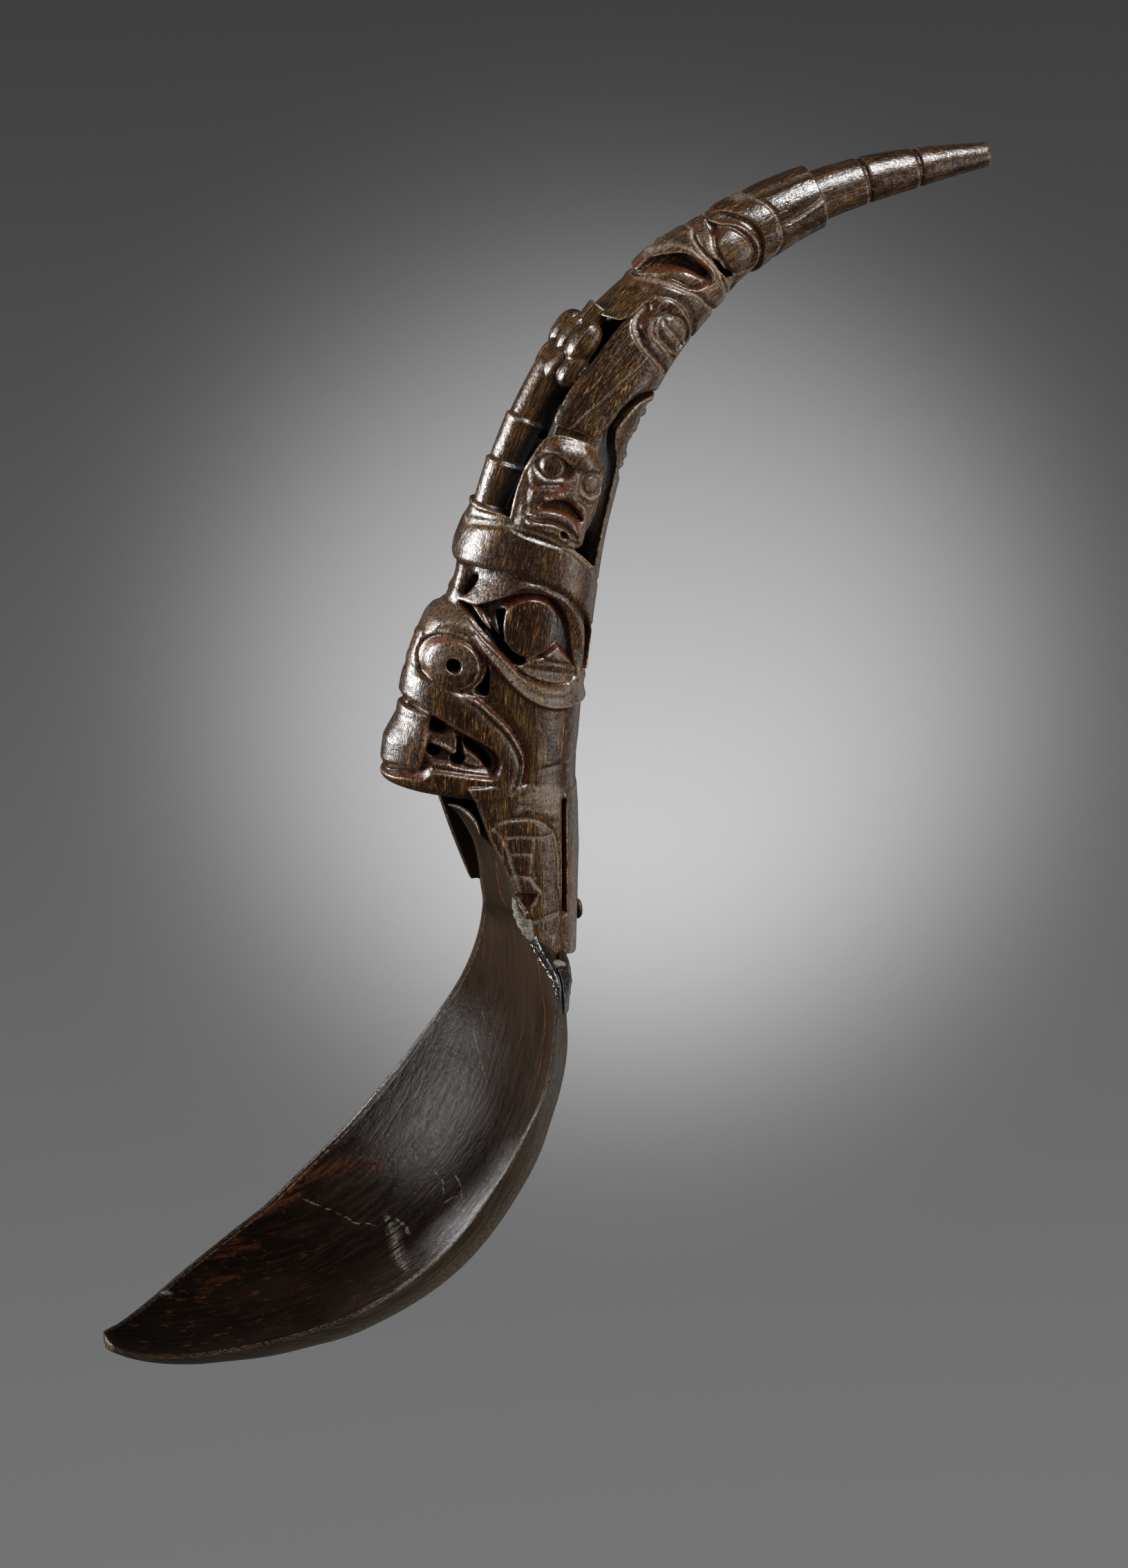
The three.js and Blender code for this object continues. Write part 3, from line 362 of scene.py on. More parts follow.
for lens in (P(-9,103, -7.1,104.9, -5,105.2, -3.1,104.5, -1.4,103.3, -1.6,102.1, -2.8,101.1, -4.9,100.6,
    -6.7,100.3, -8.6,101.3), P(-0.1,103, 0.9,104.3, 2.7,104.5, 4.5,103.7, 5.6,101.7, 5.3,100, 3.6,99.3,
    1.7,99.9, 0.5,101.2)):
    carve(curve(lens, True, 4), 0.75, 0.2, 0.1)
    groove(curve(lens, True, 4), 0.3, -0.25, 0.5)
for at, radius in (((-5.6, 102.9), 2.15), ((3.1, 102.0), 2.0)):
    groove(disc(at, radius, 0.15, 0.2, 0.12), 0.22, 0.35, 0.4)
NOSE = loop(-1.5,104, -0.3,103.4, 0.2,101.6, 0.5,99.4, 0.2,97.9, -2,97.9, -3.6,97.5, -5.4,96.8, -5.2,97.9,
    -4,98.9, -2.9,99.9, parts=3)
carve(NOSE, lambda x, s, d: -0.6 - 0.5 * ease(d / 1.2) - 0.7 * ease((102 - s) / 4), 0.3, 0.5)
carve(loop(-5.9,95.4, -4.4,96.8, -2.3,97.4, -0.1,97.1, 1.8,96, 3,94.6, 1.4,94.9, -0.1,95.5, -1.9,95.8,
    -4.1,95.6), 1.6, 0.2, 0.0)
LIP = loop(-7.6,93.4, -6.6,94.6, -5,95.4, -3.1,95.6, -1,95.4, 0.8,94.7, 2.2,93.2, 2.9,91.5, 1.9,91.8,
    -0.1,92.8, -2.4,93.4, -4.4,93.4, -6.3,92.7)
carve(loop(-8.6,94.6, -6.4,96.2, -3.6,97, -0.4,97.2, 2.6,95.8, 4.4,92.6, 4.2,89.4, 0,89, -4,90, -8.4,90.6),
    within(-0.1, -0.25, 1.5), 0.3, 0.3)
carve(loop(-5.9,95.4, -4.4,96.8, -2.3,97.4, -0.1,97.1, 1.8,96, 3,94.6, 1.4,94.7, -0.1,95.3, -1.9,95.6,
    -4.1,95.3), 1.7, 0.2, 0.0)
carve(LIP, within(-0.95, -0.5, 0.9), 0.2, 0.6)
carve(loop(-7.4,92.6, -5,92.7, -2.6,92.9, 0,92.2, 2,91, 1,90.3, -1.6,91, -4.6,91.3, -7.2,91.4),
    within(-0.9, -0.3, 0.6), 0.2, 0.5)
groove(smooth(-7.2,93, -5.6,92.9, -3.4,93.4, -1.1,93.1, 1.1,92.2, 2.7,91), 0.28, 0.7, 0.5)
groove(smooth(-5.8,91.5, -3.3,91.9, -0.9,91.5, 1,90.7, 2.9,89.8), 0.35, 0.6, 0.3)
groove(smooth(-9.3,100.7, -8.8,98.5, -8.4,96.2, -8.1,94.2, -8.8,92.4), 0.4, 0.3)
groove(smooth(2.4,97.4, 3,95.2, 3.4,93.2, 3.3,91), 0.5, -0.35)
carve(P(-0.9,91.9, 0.2,91.6, 0.6,90.7, -0.5,90.9), 2.4, 0.15)

# Wing: bevelled plate, ridge, curl and pad.
WING = loop(-7.9,110.3, -5.1,110.2, -2.7,110.4, -0.1,110.5, 1.1,111.8, 2.1,114.4, 2.5,117, 3.5,119.8, 4.6,122,
    7.4,123.9, 11,124.4, 16,124.4, 16,136, 9,139, 2,141.4, -2.4,141, -4.1,139.3, -4.6,136.3, -5.5,131.2,
    -6,127, -6.6,122.4, -7.6,117.1, -7.9,113.4, parts=3)
carve(WING, at_edge(0.1, 0.5, 0.8), 0.25)
WING_RIDGE = smooth(1.6,130.2, 0.9,125.8, -0.6,121.7, -2,117.5, -3.5,114.3, -5,110.3)
p = Patch(WING_RIDGE, 8)
side = line_distance(p.x, p.s, WING_RIDGE)
right = inside(p.x, p.s, np.vstack([WING_RIDGE, P(-2,109, 3,112, 5,121, 8,126, 4,130)]))
relief[p.at] += 0.9 * ease(0.5 + right / 0.3) * (1 - ease(side / 4.5)) * ease((131 - p.s) / 8)
groove(WING_RIDGE, 0.3, -0.25, 0.6)
for line in (P(-4.2,136.6, -4.3,133.5, -3.8,132.1, -2.1,130.9, 0.4,130.2, 3.7,129.7, 7.9,129.2), P(-0.3,138.2,
    -1.7,136, -1.5,134.7, -0.3,133.3, 2.2,132.9, 7.2,132.5)):
    groove(curve(line), 0.45, 0.85, 0.9)
groove(smooth(-3.7,136.4, -3.7,133.7, -3.1,132.5, -1.6,131.5), 0.35, 1.0)
carve(loop(-0.6,137.6, 0.6,139.2, 2.8,139.8, 5.5,139.3, 7.4,137.8, 7.3,135.8, 6.6,133.6, 2.2,133.4, 0.2,134,
    -0.8,135.4), at_edge(0.2, 0.7, 1.5), 0.25, 0.5)
groove(smooth(-0.5,136.8, 1.1,136.2, 3.7,136.1, 7.3,135.8), 0.3, 0.4, 0.6)
groove(smooth(-4.2,139.2, -1.5,141.2, 2.2,141.6, 8,139.4), 0.5, 0.45, 0.5)

# Bird's head.
BEAK_LOW = smooth(-11,136.9, -8.9,137.7, -8,138.8, -6.4,140.4, -4.4,142, -1.7,143.3, 1.4,144.8, 4.1,145.2,
    6.4,145.9, 10,146.6)
BRIDGE = smooth(-11,152.2, -7.7,152.3, -6.4,151, -3.8,150.5, -0.6,151, 4,150.7, 7.1,150.7, 11,150.2)
carve(np.vstack([BEAK_LOW, BRIDGE[::-1]]), at_edge(0.1, 0.35, 1.2), 0.25, 0.35)
MOUTH_BIRD = loop(-12,138.8, -8.6,139.6, -8,142.8, -7,145.9, -5.7,148, -3.8,149.1, -1.3,149.6, 0.2,149.3,
    0.6,147.4, -0.6,144.9, -4,143.2, -6.5,140.6, -8.3,138.6, -12,137.6)
groove(smooth(-9.6,139.9, -9.2,141.6, -8.6,144.4, -7.9,147.6, -6.5,149, -3.7,149.9, -0.9,150.3, 0.8,149.3),
    0.35, -0.3, 0.7)
carve(MOUTH_BIRD, 3.2, 0.25, 0.0)
carve(loop(-11,137.6, -8.3,139, -7.2,141.6, -5.7,144.2, -3.5,146.5, -0.3,148.1, 0.4,148.6, 0.2,146.8,
    -1,144.9, -4,143.2, -6.5,140.6, -8.2,138.2), within(1.5, -0.5, 0.7), 0.2, 0.4)
groove(BEAK_LOW[4:], 0.35, 0.5, 0.8)
groove(BRIDGE, 0.4, 0.7, 0.9)
BIRD_LENS = loop(-7.4,154.4, -6.1,156.9, -4.7,159, -2.7,160.3, 0,161, 2.6,160.6, 5,159.2, 5.7,156.7,
    6.5,153.8, 8,152.4, 7.1,150.9, 4,151.1, 0,151.5, -2.5,151.5, -4.5,151.3, -6.8,152.3, parts=4)
BIRD_BAND_LOW = smooth(-12,154.8, -8,155.1, -7.6,156.8, -6.7,158.9, -5.1,160.7, -3.4,161.8, -1.6,162.1,
    0.8,161.8, 3.5,160.7, 6.5,159.4, 8.4,156.2, 9,152, 12,150.6)
BIRD_BAND_HIGH = smooth(-12,161.4, -7.7,161.6, -7.1,163.6, -5.7,165.1, -4.2,166, -1.6,166.3, 0.2,166.1,
    3.2,165.6, 4.9,164.3, 8,162.6, 12,161.8)
carve(np.vstack([BIRD_BAND_LOW, BRIDGE[::-1]]), 1.3, 0.25, 0.4)
carve(BIRD_LENS, lambda x, s, d: 0.35 + 0.75 * np.clip(d / 1.2, 0, 1), 0.22, 0.4)
carve(P(-7.6,153.6, -6.4,154.4, -4.5,153.9, -1.4,152.3, -2.5,151.7, -4.5,151.6, -6.8,152.5), 0.5, 0.2, 1.0)
eye_bird = loop(-4.6,155, -4.8,157.1, -3.1,158.6, -0.3,159.3, 2.2,158.9, 4,156.3, 2.9,154, 0,153.3,
    -3.5,153.6)
groove(np.vstack([eye_bird, eye_bird[:1]]), 0.5, 0.6)
carve(eye_bird, within(0.6, -0.2, 2.6), 0.2, 0.2)
pierce(P(-2.7,151.6, -1.1,152.3, 0.9,152.5, 2.5,153.4, 3.9,153.6, 3,151.9, 0.3,151.4))
carve(P(-7.2,155.2, -6.6,154.6, -5.2,154.4, -4.9,155.2, -5.6,156.4), 2.6, 0.2)
groove(BIRD_BAND_HIGH, 0.35, 0.4, 0.7)
groove(smooth(-0.2,166.3, -0.2,169.8, -0.5,172.6, -1.2,175.5, -1.9,176.6), 0.35, 0.5, 0.8)
groove(smooth(-7.2,162, -6.6,168, -6.2,176), 0.3, 0.25, 0.5)

# Legs: side panel, back panel, slit and scribed lines.
carve(P(-30,-2, 7.9,-2, 7.9,39.5, -30,37), 0.7, 0.4)
carve(P(7.9,-2, 20,-2, 20,37.6, 7.9,37.6), 0.35, 0.3, 0.3)
PANEL = smooth(-7.2,32.4, -5.5,33.7, -1.9,33.9, 1.7,33.1, 4.4,30.9, 5.5,29, 6.4,23.9, 6.4,18.4)
for line, *how in (                                 # width, depth and dust of each
        (PANEL, 0.35, 0.45, 0.55),
        (smooth(-7.2,32.4, -5.5,30.4, -4.5,27.9, -3,22.8, -2,19.4), 0.3, 0.3, 0.3),
        (smooth(-4.7,30.4, -1.4,30.2, 2.6,29.6, 5,29.6), 0.28, 0.35, 0.5),
        (smooth(-3.6,26.9, 0.6,26.4), 0.25, 0.3, 0.6),
        (smooth(-3.2,22.5, -0.9,21.8, 1.2,21.3), 0.25, 0.3, 0.6),
        (smooth(1.1,29.4, 0.7,26.3, 0.1,22.5, 0.5,20.8, 2.3,18.3), 0.25, 0.35, 0.6),
        (smooth(0,12.4, 1.6,12.3, 3.6,12.7, 5.5,12.9), 0.3, 0.4, 0.2),
        (smooth(6.4,18.4, 6.9,16, 7.4,12.6), 0.3, 0.3, 0.2)):
    groove(line, *how)
carve(P(-2.9,18.4, -0.9,18.2, 1.1,17.8, 0.7,16.4, -0.7,14.4, -1.9,16), 2.3, 0.2, 0.0)
# Raised crust lines on top of the legs; their pale colour is partly painted glints.
groove(P(0.4,38.6, 3,37.6, 6.4,37.9), 1.5, -0.12, dust_and_glint=0.45)
groove(P(-2.2,36.4, 1.6,35.4, 5.8,34.2), 0.5, -0.10, dust_and_glint=0.5)
carve(P(7.55,12, 7.6,24.5, 7.7,36.2, 8.15,36.2, 8.1,24.5, 8,12), 4.0, 0.15, 0.0)
# Crusty patch on top of the legs, painted rubbed grey; the grey is partly a painted highlight.
carve(loop(-3.4,35, -0.5,36, 2.4,34.6, 5.9,32.6, 6.9,35.5, 6.6,38.6, 1,40.2, -2.4,40), 0.45,
    0.5, 1.0)

# Cut-outs of the nose slot, the eye corner, the nostril gap and the nostril.
pierce(loop(-15.25,75.4, -15.4,76.2, -15.15,77.8, -14.85,79.1, -14.3,79.6, -14.1,78.8, -14.4,77, -14.9,75.6,
    parts=3))
pierce(loop(-15,74, -14.3,73.9, -13.2,72.5, -11.6,70.9, -10.1,69.8, -8.1,68.8, -6.1,67.5, -4.5,66.4,
    -3.3,65.9, -3.5,65.1, -5.5,65.1, -7.9,66.8, -10.2,68.6, -12.6,70.7, -14.4,72.7, parts=3), 0.35)
pierce(P(-10.5,74, -8.7,74.6, -8.5,72.7, -8,70, -8.6,69.8, -9.8,71.9), 0.3)
p = Patch(eye_rim, 1.0)
holes[p.at] = np.minimum(holes[p.at], np.hypot(p.x - EYE[0], p.s - EYE[1]) - EYE_RADIUS)
pierce(loop(-10.8,64.6, -10.1,63.2, -10.1,61, -10.2,58.9, -11.4,58.2, -13.2,59.2, -11.7,61.2, -11,63.2,
    parts=4))
NOSTRIL_HOLE = 1.3

# ---------------------------------------------------------------- the carving field
gx, gs = np.meshgrid(x_axis, s_axis, indexing="ij")
level = relief[::2, ::2]
through = holes[::2, ::2].astype(np.float32)[:, None, :]
HEAD_START, COLLAR_END = 33.0, 176.4
EYE_SPAN, BIRD_EYE_SPAN = (56.0, 81.0), (150.0, 155.0)     # lengths that the cut-outs lie in


def sample(grid, x, s):
    """Values of a relief map at points."""
    i = np.clip((x - fine_x[0]) / FINE, 0, len(fine_x) - 1.001)
    j = np.clip((s - fine_s[0]) / FINE, 0, len(fine_s) - 1.001)
    a, b = i.astype(int), j.astype(int)
    u, v = i - a, j - b
    return (grid[a, b] * (1 - u) * (1 - v) + grid[a + 1, b] * u * (1 - v)
            + grid[a, b + 1] * (1 - u) * v + grid[a + 1, b + 1] * u * v)


def share(x, y, s, rows, square=2.0):
    """How far out a point lies between the horn's centre line (0) and its surface (1)."""
    front, back, wide = (np.interp(s, rows[:, 0], rows[:, k]) for k in (1, 2, 3))
    power = np.where(x < 0, square, 2.0)
    reach = np.where(x < 0, front, back)
    return ((np.abs(x) / reach) ** power + (np.abs(y) / wide) ** power) ** (1 / power) + 1e-4


def envelope(rows, stations=None, square=2.0):
    """Depth below the surface of the horn in half the field."""
    s = s_axis if stations is None else stations
    x, y = x_axis[:, None, None], y_axis[None, :, None]
    return (np.hypot(x, y) * (1 / share(x, y, s[None, None, :], rows, square) - 1)).astype(np.float32)


def rounded_edge(a, b, radius):
    """The part inside both fields, with the edge between them rounded."""
    corner = np.maximum(radius - a, 0) ** 2 + np.maximum(radius - b, 0) ** 2
    return np.where((a < radius) & (b < radius), radius - np.sqrt(corner), np.minimum(a, b))


def flat(points):
    """Distance to the edge of an outline, positive inside, over the field's x and s."""
    return inside(gx, gs, np.asarray(points, float)).astype(np.float32)[:, None, :]


D = envelope(HORN)
across = y_axis[None, :, None].astype(np.float32)
s3 = s_axis[None, None, :].astype(np.float32)
x3 = x_axis[:, None, None].astype(np.float32)
# Toward the middle of the front and back the side's relief fades.
fade = ease((across - 1.0) / 3.0).astype(np.float32)
lev = level.astype(np.float32)[:, None, :] * (0.35 + 0.65 * fade)
body = D - lev
body = np.minimum(body, s3 - HEAD_START)
body = np.minimum(body, COLLAR_END - s3)
# The eye's cut-outs go in square to the surface and meet the hollow; the nose slot is only 4.5 mm deep.
block = np.s_[:, :, slice(*np.searchsorted(s_axis, EYE_SPAN))]
skin_x = np.clip(x3 / share(x3, across, s3[block], HORN), fine_x[0], fine_x[-1])
cut = sample(holes, skin_x, np.broadcast_to(s3[block], skin_x.shape)).astype(np.float32)
pocket = np.where(skin_x < -13.2, 4.5, 9.0) - D[block]
body[block] = np.minimum(body[block], -np.minimum(cut, pocket))
# The corner of the bird's eye is cut straight in.
block = np.s_[:, :, slice(*np.searchsorted(s_axis, BIRD_EYE_SPAN))]
body[block] = np.minimum(body[block], -np.minimum(through[block], 4.0 - D[block]))
nostril = NOSTRIL_HOLE - np.hypot(x3 - NOSTRIL[0], s3 - NOSTRIL[1])
body = np.minimum(body, -np.minimum(nostril, across - 3.0))
# Rounded lower edge of the head.
HEAD_FLOOR = P(-40,30, -40,41.4, -25.6,39.9, -20.5,39.2, -15.7,38.7, -10.3,38, -6.9,38, -4.7,39.2, -2.6,40.6,
    0.5,40.2, 3,39.2, 6,38.7, 20,38.9, 20,30)
body = rounded_edge(body, -flat(HEAD_FLOOR), 1.5)
radius = np.hypot(x3, across)
core = radius - np.interp(s_axis, HOLLOW[:, 0], HOLLOW[:, 1])[None, None, :]
core = np.where(s3 < 96, core, 9.0).astype(np.float32)
body = np.minimum(body, core)

OPENWORK = P(-30,91.2, -11.6,91.8, -8,91.4, -3,90.6, 1.6,89.2, 5.7,87.3, 9.9,84.6, 16,79, 30,79, 30,124.5,
    6,124.4, 2,133, -4.4,135.5, -6,131.6, -8.8,129.8, -30,129.8)
body = np.minimum(body, -flat(OPENWORK))
STRIP = loop(18,77, 12.5,81.5, 9.8,84.4, 9.4,92.1, 8.9,98, 8.4,103.4, 7.2,107.4, 4.9,110.6, 3.7,113.5,
    4.3,116.8, 5.6,120.3, 7.6,122.4, 10,123.6, 18,124.8, parts=4)


def shell(outline, thickness, thin_edge=False):
    """A plate of the horn's skin; with a thin edge it is bevelled on the inside."""
    edge = flat(outline)
    if thin_edge:
        thickness = np.minimum(thickness, 0.6 + 1.3 * np.maximum(edge, 0.0))
    return np.minimum(np.minimum(D - lev, lev + thickness - D), edge)


plates = np.maximum(shell(STRIP, SHELL), shell(WING, SHELL, thin_edge=True))
plates = np.maximum(plates, shell(FACE, SHELL + 0.6, thin_edge=True))
BRIDGE_PLATE = P(-6.6,106, 3.2,106, 2.6,113.5, -6.6,113.5)
plates = np.maximum(plates, np.minimum(np.minimum(D - 2.2, SHELL + 0.6 - D), flat(BRIDGE_PLATE)))
# Chipped outer edge of the back strip.
chips = 0.5 * np.sin(gs * 1.1 + 1.7 * np.sin(gs * 0.47)) * np.sin(gs * 0.37 + 1.0) + 0.12 * np.sin(gs * 3.1)
chipped = D - np.clip(0.25 + chips, 0, 0.9)[:, None, :].astype(np.float32)
plates = np.where((x3 > 8.6) & (s3 > 104) & (s3 < 123), np.minimum(plates, chipped), plates)
body = np.maximum(body, plates)

# Ringed rod: each length overlaps the next one below it.
ROD_LOW, ROD_HIGH, ROD_RADIUS = np.array([-11.2, 88.0]), np.array([-9.2, 118.6]), 3.6
run = ROD_HIGH - ROD_LOW
length = float(np.hypot(*run))
t = ((x3 - ROD_LOW[0]) * run[0] + (s3 - ROD_LOW[1]) * run[1]) / length
off = ((x3 - ROD_LOW[0]) * run[1] - (s3 - ROD_LOW[1]) * run[0]) / length
ring_at = [91.8, 99.9, 108.3, 120.0]
swell = np.zeros_like(t)
for low, high in zip([88.0] + ring_at, ring_at + [130.0]):
    part = (s3 >= low) & (s3 < high)
    up = (s3 - low) / (high - low)
    swell = np.where(part, -0.45 + 0.5 * up + 0.25 * ease((s3 - high + 0.9) / 0.7), swell)
rod = np.minimum(ROD_RADIUS + 0.15 + swell - np.hypot(off, across * 0.97), np.minimum(t, length - t))
body = np.maximum(body, rod)

# Claws over the rod's end: smooth lobes with a ridge along them, as (x, s, y, radius, half length, lean).
for x, s, y, r, half, lean in ((-10.8, 118.7, 0.0, 1.9, 2.9, 0.05), (-10.1, 119.5, 2.7, 2.0, 3.2, 0.05),
                               (-8.0, 119.9, 5.3, 2.3, 3.6, 0.10), (-9.5, 124.7, 0.0, 2.2, 3.9, 0.0),
                               (-8.8, 124.8, 4.7, 2.8, 4.1, 0.0)):
    along = s3 - s
    px = x3 - x - lean * along
    py = across - y
    taper = np.sqrt(np.clip(1 - np.abs(along / half) ** 2.6, 0, 1))
    ridge = 0.30 * np.exp(-((px + 0.9 * py) / 0.45) ** 2)
    lobe = (r + ridge) * taper - np.hypot(px, py)
    body = np.maximum(body, np.minimum(lobe, half - np.abs(along)))
claw_core = 2.4 - np.hypot(x3 + 8.2, across)
body = np.maximum(body, np.minimum(np.minimum(claw_core, s3 - 114.5), 131.5 - s3))

# Smooth end of the horn with its scribed rings.
tip = envelope(TIP)
for s in TIP_RINGS:
    tip = tip - 0.6 * np.exp(-((s3 - s) / 0.36) ** 2).astype(np.float32)
tip = rounded_edge(tip, TIP_STATION - s3, 0.7)
body = np.maximum(body, np.minimum(tip, s3 - 174))

# Legs differ on the two sides.
LEG_NEAR = P(-13.6,42, -10.4,37.3, -7.6,29.6, -5.5,25.2, -3,18.5, -1.6,14, 0.2,5.2, 1,4.4, 7.4,3.2, 10.7,1.6,
    17,1.2, 17,42)
LEG_FAR = P(-15.4,42, -12.6,37.3, -9.6,29.8, -5.6,18.4, -2.8,10.5, 4,8.6, 10.7,2.6, 17,1.2, 17,42)
LEG_ROOM = P(-30,20, -2,20, -2,39.6, -30,39.6)
room_cut = -np.minimum(flat(LEG_ROOM), 10.6 - across)
LEG_TOP, LEG_SQUARE = 41.0, 4.0                     # the legs' front is squarer than the horn
leg_part = s_axis < LEG_TOP + 1
D_leg = D.copy()
D_leg[:, :, leg_part] = envelope(HORN, s_axis[leg_part], LEG_SQUARE)


def leg(outline, plain=False):
    """One leg from its outline; a plain one has a shallower panel."""
    edge = flat(outline)
    sunk = np.maximum(lev, 0.3)
    if plain:
        sunk = np.where(x3 < 6.5, np.minimum(sunk, 0.8), sunk)
    made = np.minimum(np.minimum(D_leg - sunk, edge), LEG_TOP - s3)
    return np.minimum(np.minimum(made, core), room_cut)


# The tip of the beak hangs down in front of the mouth.
BEAK = P(-12,138.5, -8.9,139.1, -6.8,141.8, -5.5,147.5, -12,147.5)
beak = np.minimum(D + 0.35, flat(BEAK))
near_half = np.maximum(np.maximum(body, leg(LEG_NEAR)), np.minimum(beak, 1.2 - across))
far_half = np.maximum(np.maximum(body, leg(LEG_FAR, plain=True)), np.minimum(beak, 5.5 - across))
field = np.concatenate([near_half[:, :0:-1, :], far_half], axis=1)     # near side at negative y
del near_half, far_half, body, plates, rod, tip, core
y_full = np.concatenate([-y_axis[:0:-1], y_axis])

# Bowl rows, which also shape the seat in the socket: [rim x, rim z, half-width, depth].
BOWL = np.array([
    [-86.9, -69.1, 3.8, 2.0], [-85.0, -69.6, 6.2, 2.5], [-82.1, -69.9, 8.8, 3.4],
    [-77.9, -69.5, 12.3, 4.9], [-72.2, -68.2, 16.4, 6.9], [-66.0, -66.2, 20.4, 8.9],
    [-59.0, -63.9, 24.3, 10.9], [-52.1, -61.2, 27.4, 12.6], [-45.6, -58.4, 29.7, 14.4],
    [-39.7, -54.8, 31.6, 15.9], [-33.8, -50.6, 32.9, 17.2], [-28.0, -45.9, 33.4, 17.9],
    [-22.9, -40.8, 33.2, 17.9], [-18.3, -35.5, 32.5, 17.4], [-14.0, -30.1, 31.7, 16.5],
    [-10.2, -24.6, 30.7, 14.8], [-6.6, -19.1, 29.4, 12.6], [-3.9, -13.5, 27.5, 10.7],
    [-2.3, -7.8, 25.2, 8.9], [-1.2, -2.3, 23.6, 7.1], [-1.1, 2.8, 21.6, 5.6],
    [-3.1, 7.6, 15.5, 4.5], [-4.6, 12.2, 12.6, 4.0], [-5.6, 17.0, 11.0, 3.8],
    [-6.8, 21.8, 10.4, 3.8], [-8.6, 25.6, 10.3, 3.3], [-10.6, 28.6, 10.3, 2.5]])
TANG_TOP = [-12.4, 30.4, 10.1, 1.9]                # its lip stands free under the head
NECK = 17                                           # first of the rows that make the neck
WALL, BELLY, GAP = 1.7, 2.3, 0.3


def bezier(u):
    """Points and directions of the horn's centre line."""
    a, b, c, d = SPINE
    u = u[..., None]
    p = (1 - u) ** 3 * a + 3 * (1 - u) ** 2 * u * b + 3 * (1 - u) * u ** 2 * c + u ** 3 * d
    v = 3 * (1 - u) ** 2 * (b - a) + 6 * (1 - u) * u * (c - b) + 3 * u ** 2 * (d - c)
    return p, v / np.linalg.norm(v, axis=-1, keepdims=True)


steps = np.linspace(0, 1, 4001)
track = bezier(steps)[0]
lengths = np.concatenate([[0], np.cumsum(np.linalg.norm(np.diff(track, axis=0), axis=1))])
SPINE_LENGTH = lengths[-1]


def bend(x, y, s):
    """Points of the straight horn on its bent centre line, in working millimetres."""
    u = np.clip(s / TIP_STATION, 0, 1)
    extra = (s / TIP_STATION - u) * SPINE_LENGTH
    p, v = bezier(np.interp(u * SPINE_LENGTH, lengths, steps))
    return np.stack([p[..., 0] + v[..., 0] * extra + v[..., 1] * x, y + 0 * x,
                     p[..., 1] + v[..., 1] * extra - v[..., 0] * x], -1)


# Seat of the tang: everything in front of the tang's back surface, in the horn's lowest part.
low = s_axis < 36.0
seat_x, seat_z = (bend(gx, 0 * gx, gs)[..., k][:, low] for k in (0, 2))
rim_x, half, deep = (np.interp(seat_z, BOWL[NECK:, 1], BOWL[NECK:, k])[:, None, :] for k in (0, 2, 3))
half, deep = half + GAP, deep + GAP
seat_x, seat_z = seat_x[:, None, :], seat_z[:, None, :]
yy = np.abs(y_full)[None, :, None]
back_surface = rim_x + deep * (1 - np.clip(yy / half, 0, 1.2) ** BELLY)
seat = np.minimum(back_surface - seat_x, half - yy)
seat = np.minimum(seat, BOWL[-1, 1] + GAP - seat_z)
field[:, :, low] = np.minimum(field[:, :, low], -seat)
RIVET_Z, RIVET_RADIUS = 9.0, 1.3
pin_room = np.hypot(y_full[None, :, None], seat_z - RIVET_Z) - RIVET_RADIUS - GAP
pin_room = np.where(seat_x > -4, pin_room, 9.0)     # the pin goes through the back only
field[:, :, low] = np.minimum(field[:, :, low], pin_room)

# The field is smoothed once, and closed at its outer faces.
field = np.clip(field, -2.0, 2.0).astype(np.float32)
for axis in range(3):
    lo_side = np.take(field, [0] + list(range(field.shape[axis] - 1)), axis=axis)
    hi_side = np.take(field, list(range(1, field.shape[axis])) + [field.shape[axis] - 1], axis=axis)
    field = 0.5 * field + 0.25 * (lo_side + hi_side)
for axis in range(3):
    edge_index = [slice(None)] * 3
    for end in (0, -1):
        edge_index[axis] = end
        field[tuple(edge_index)] = -1.0


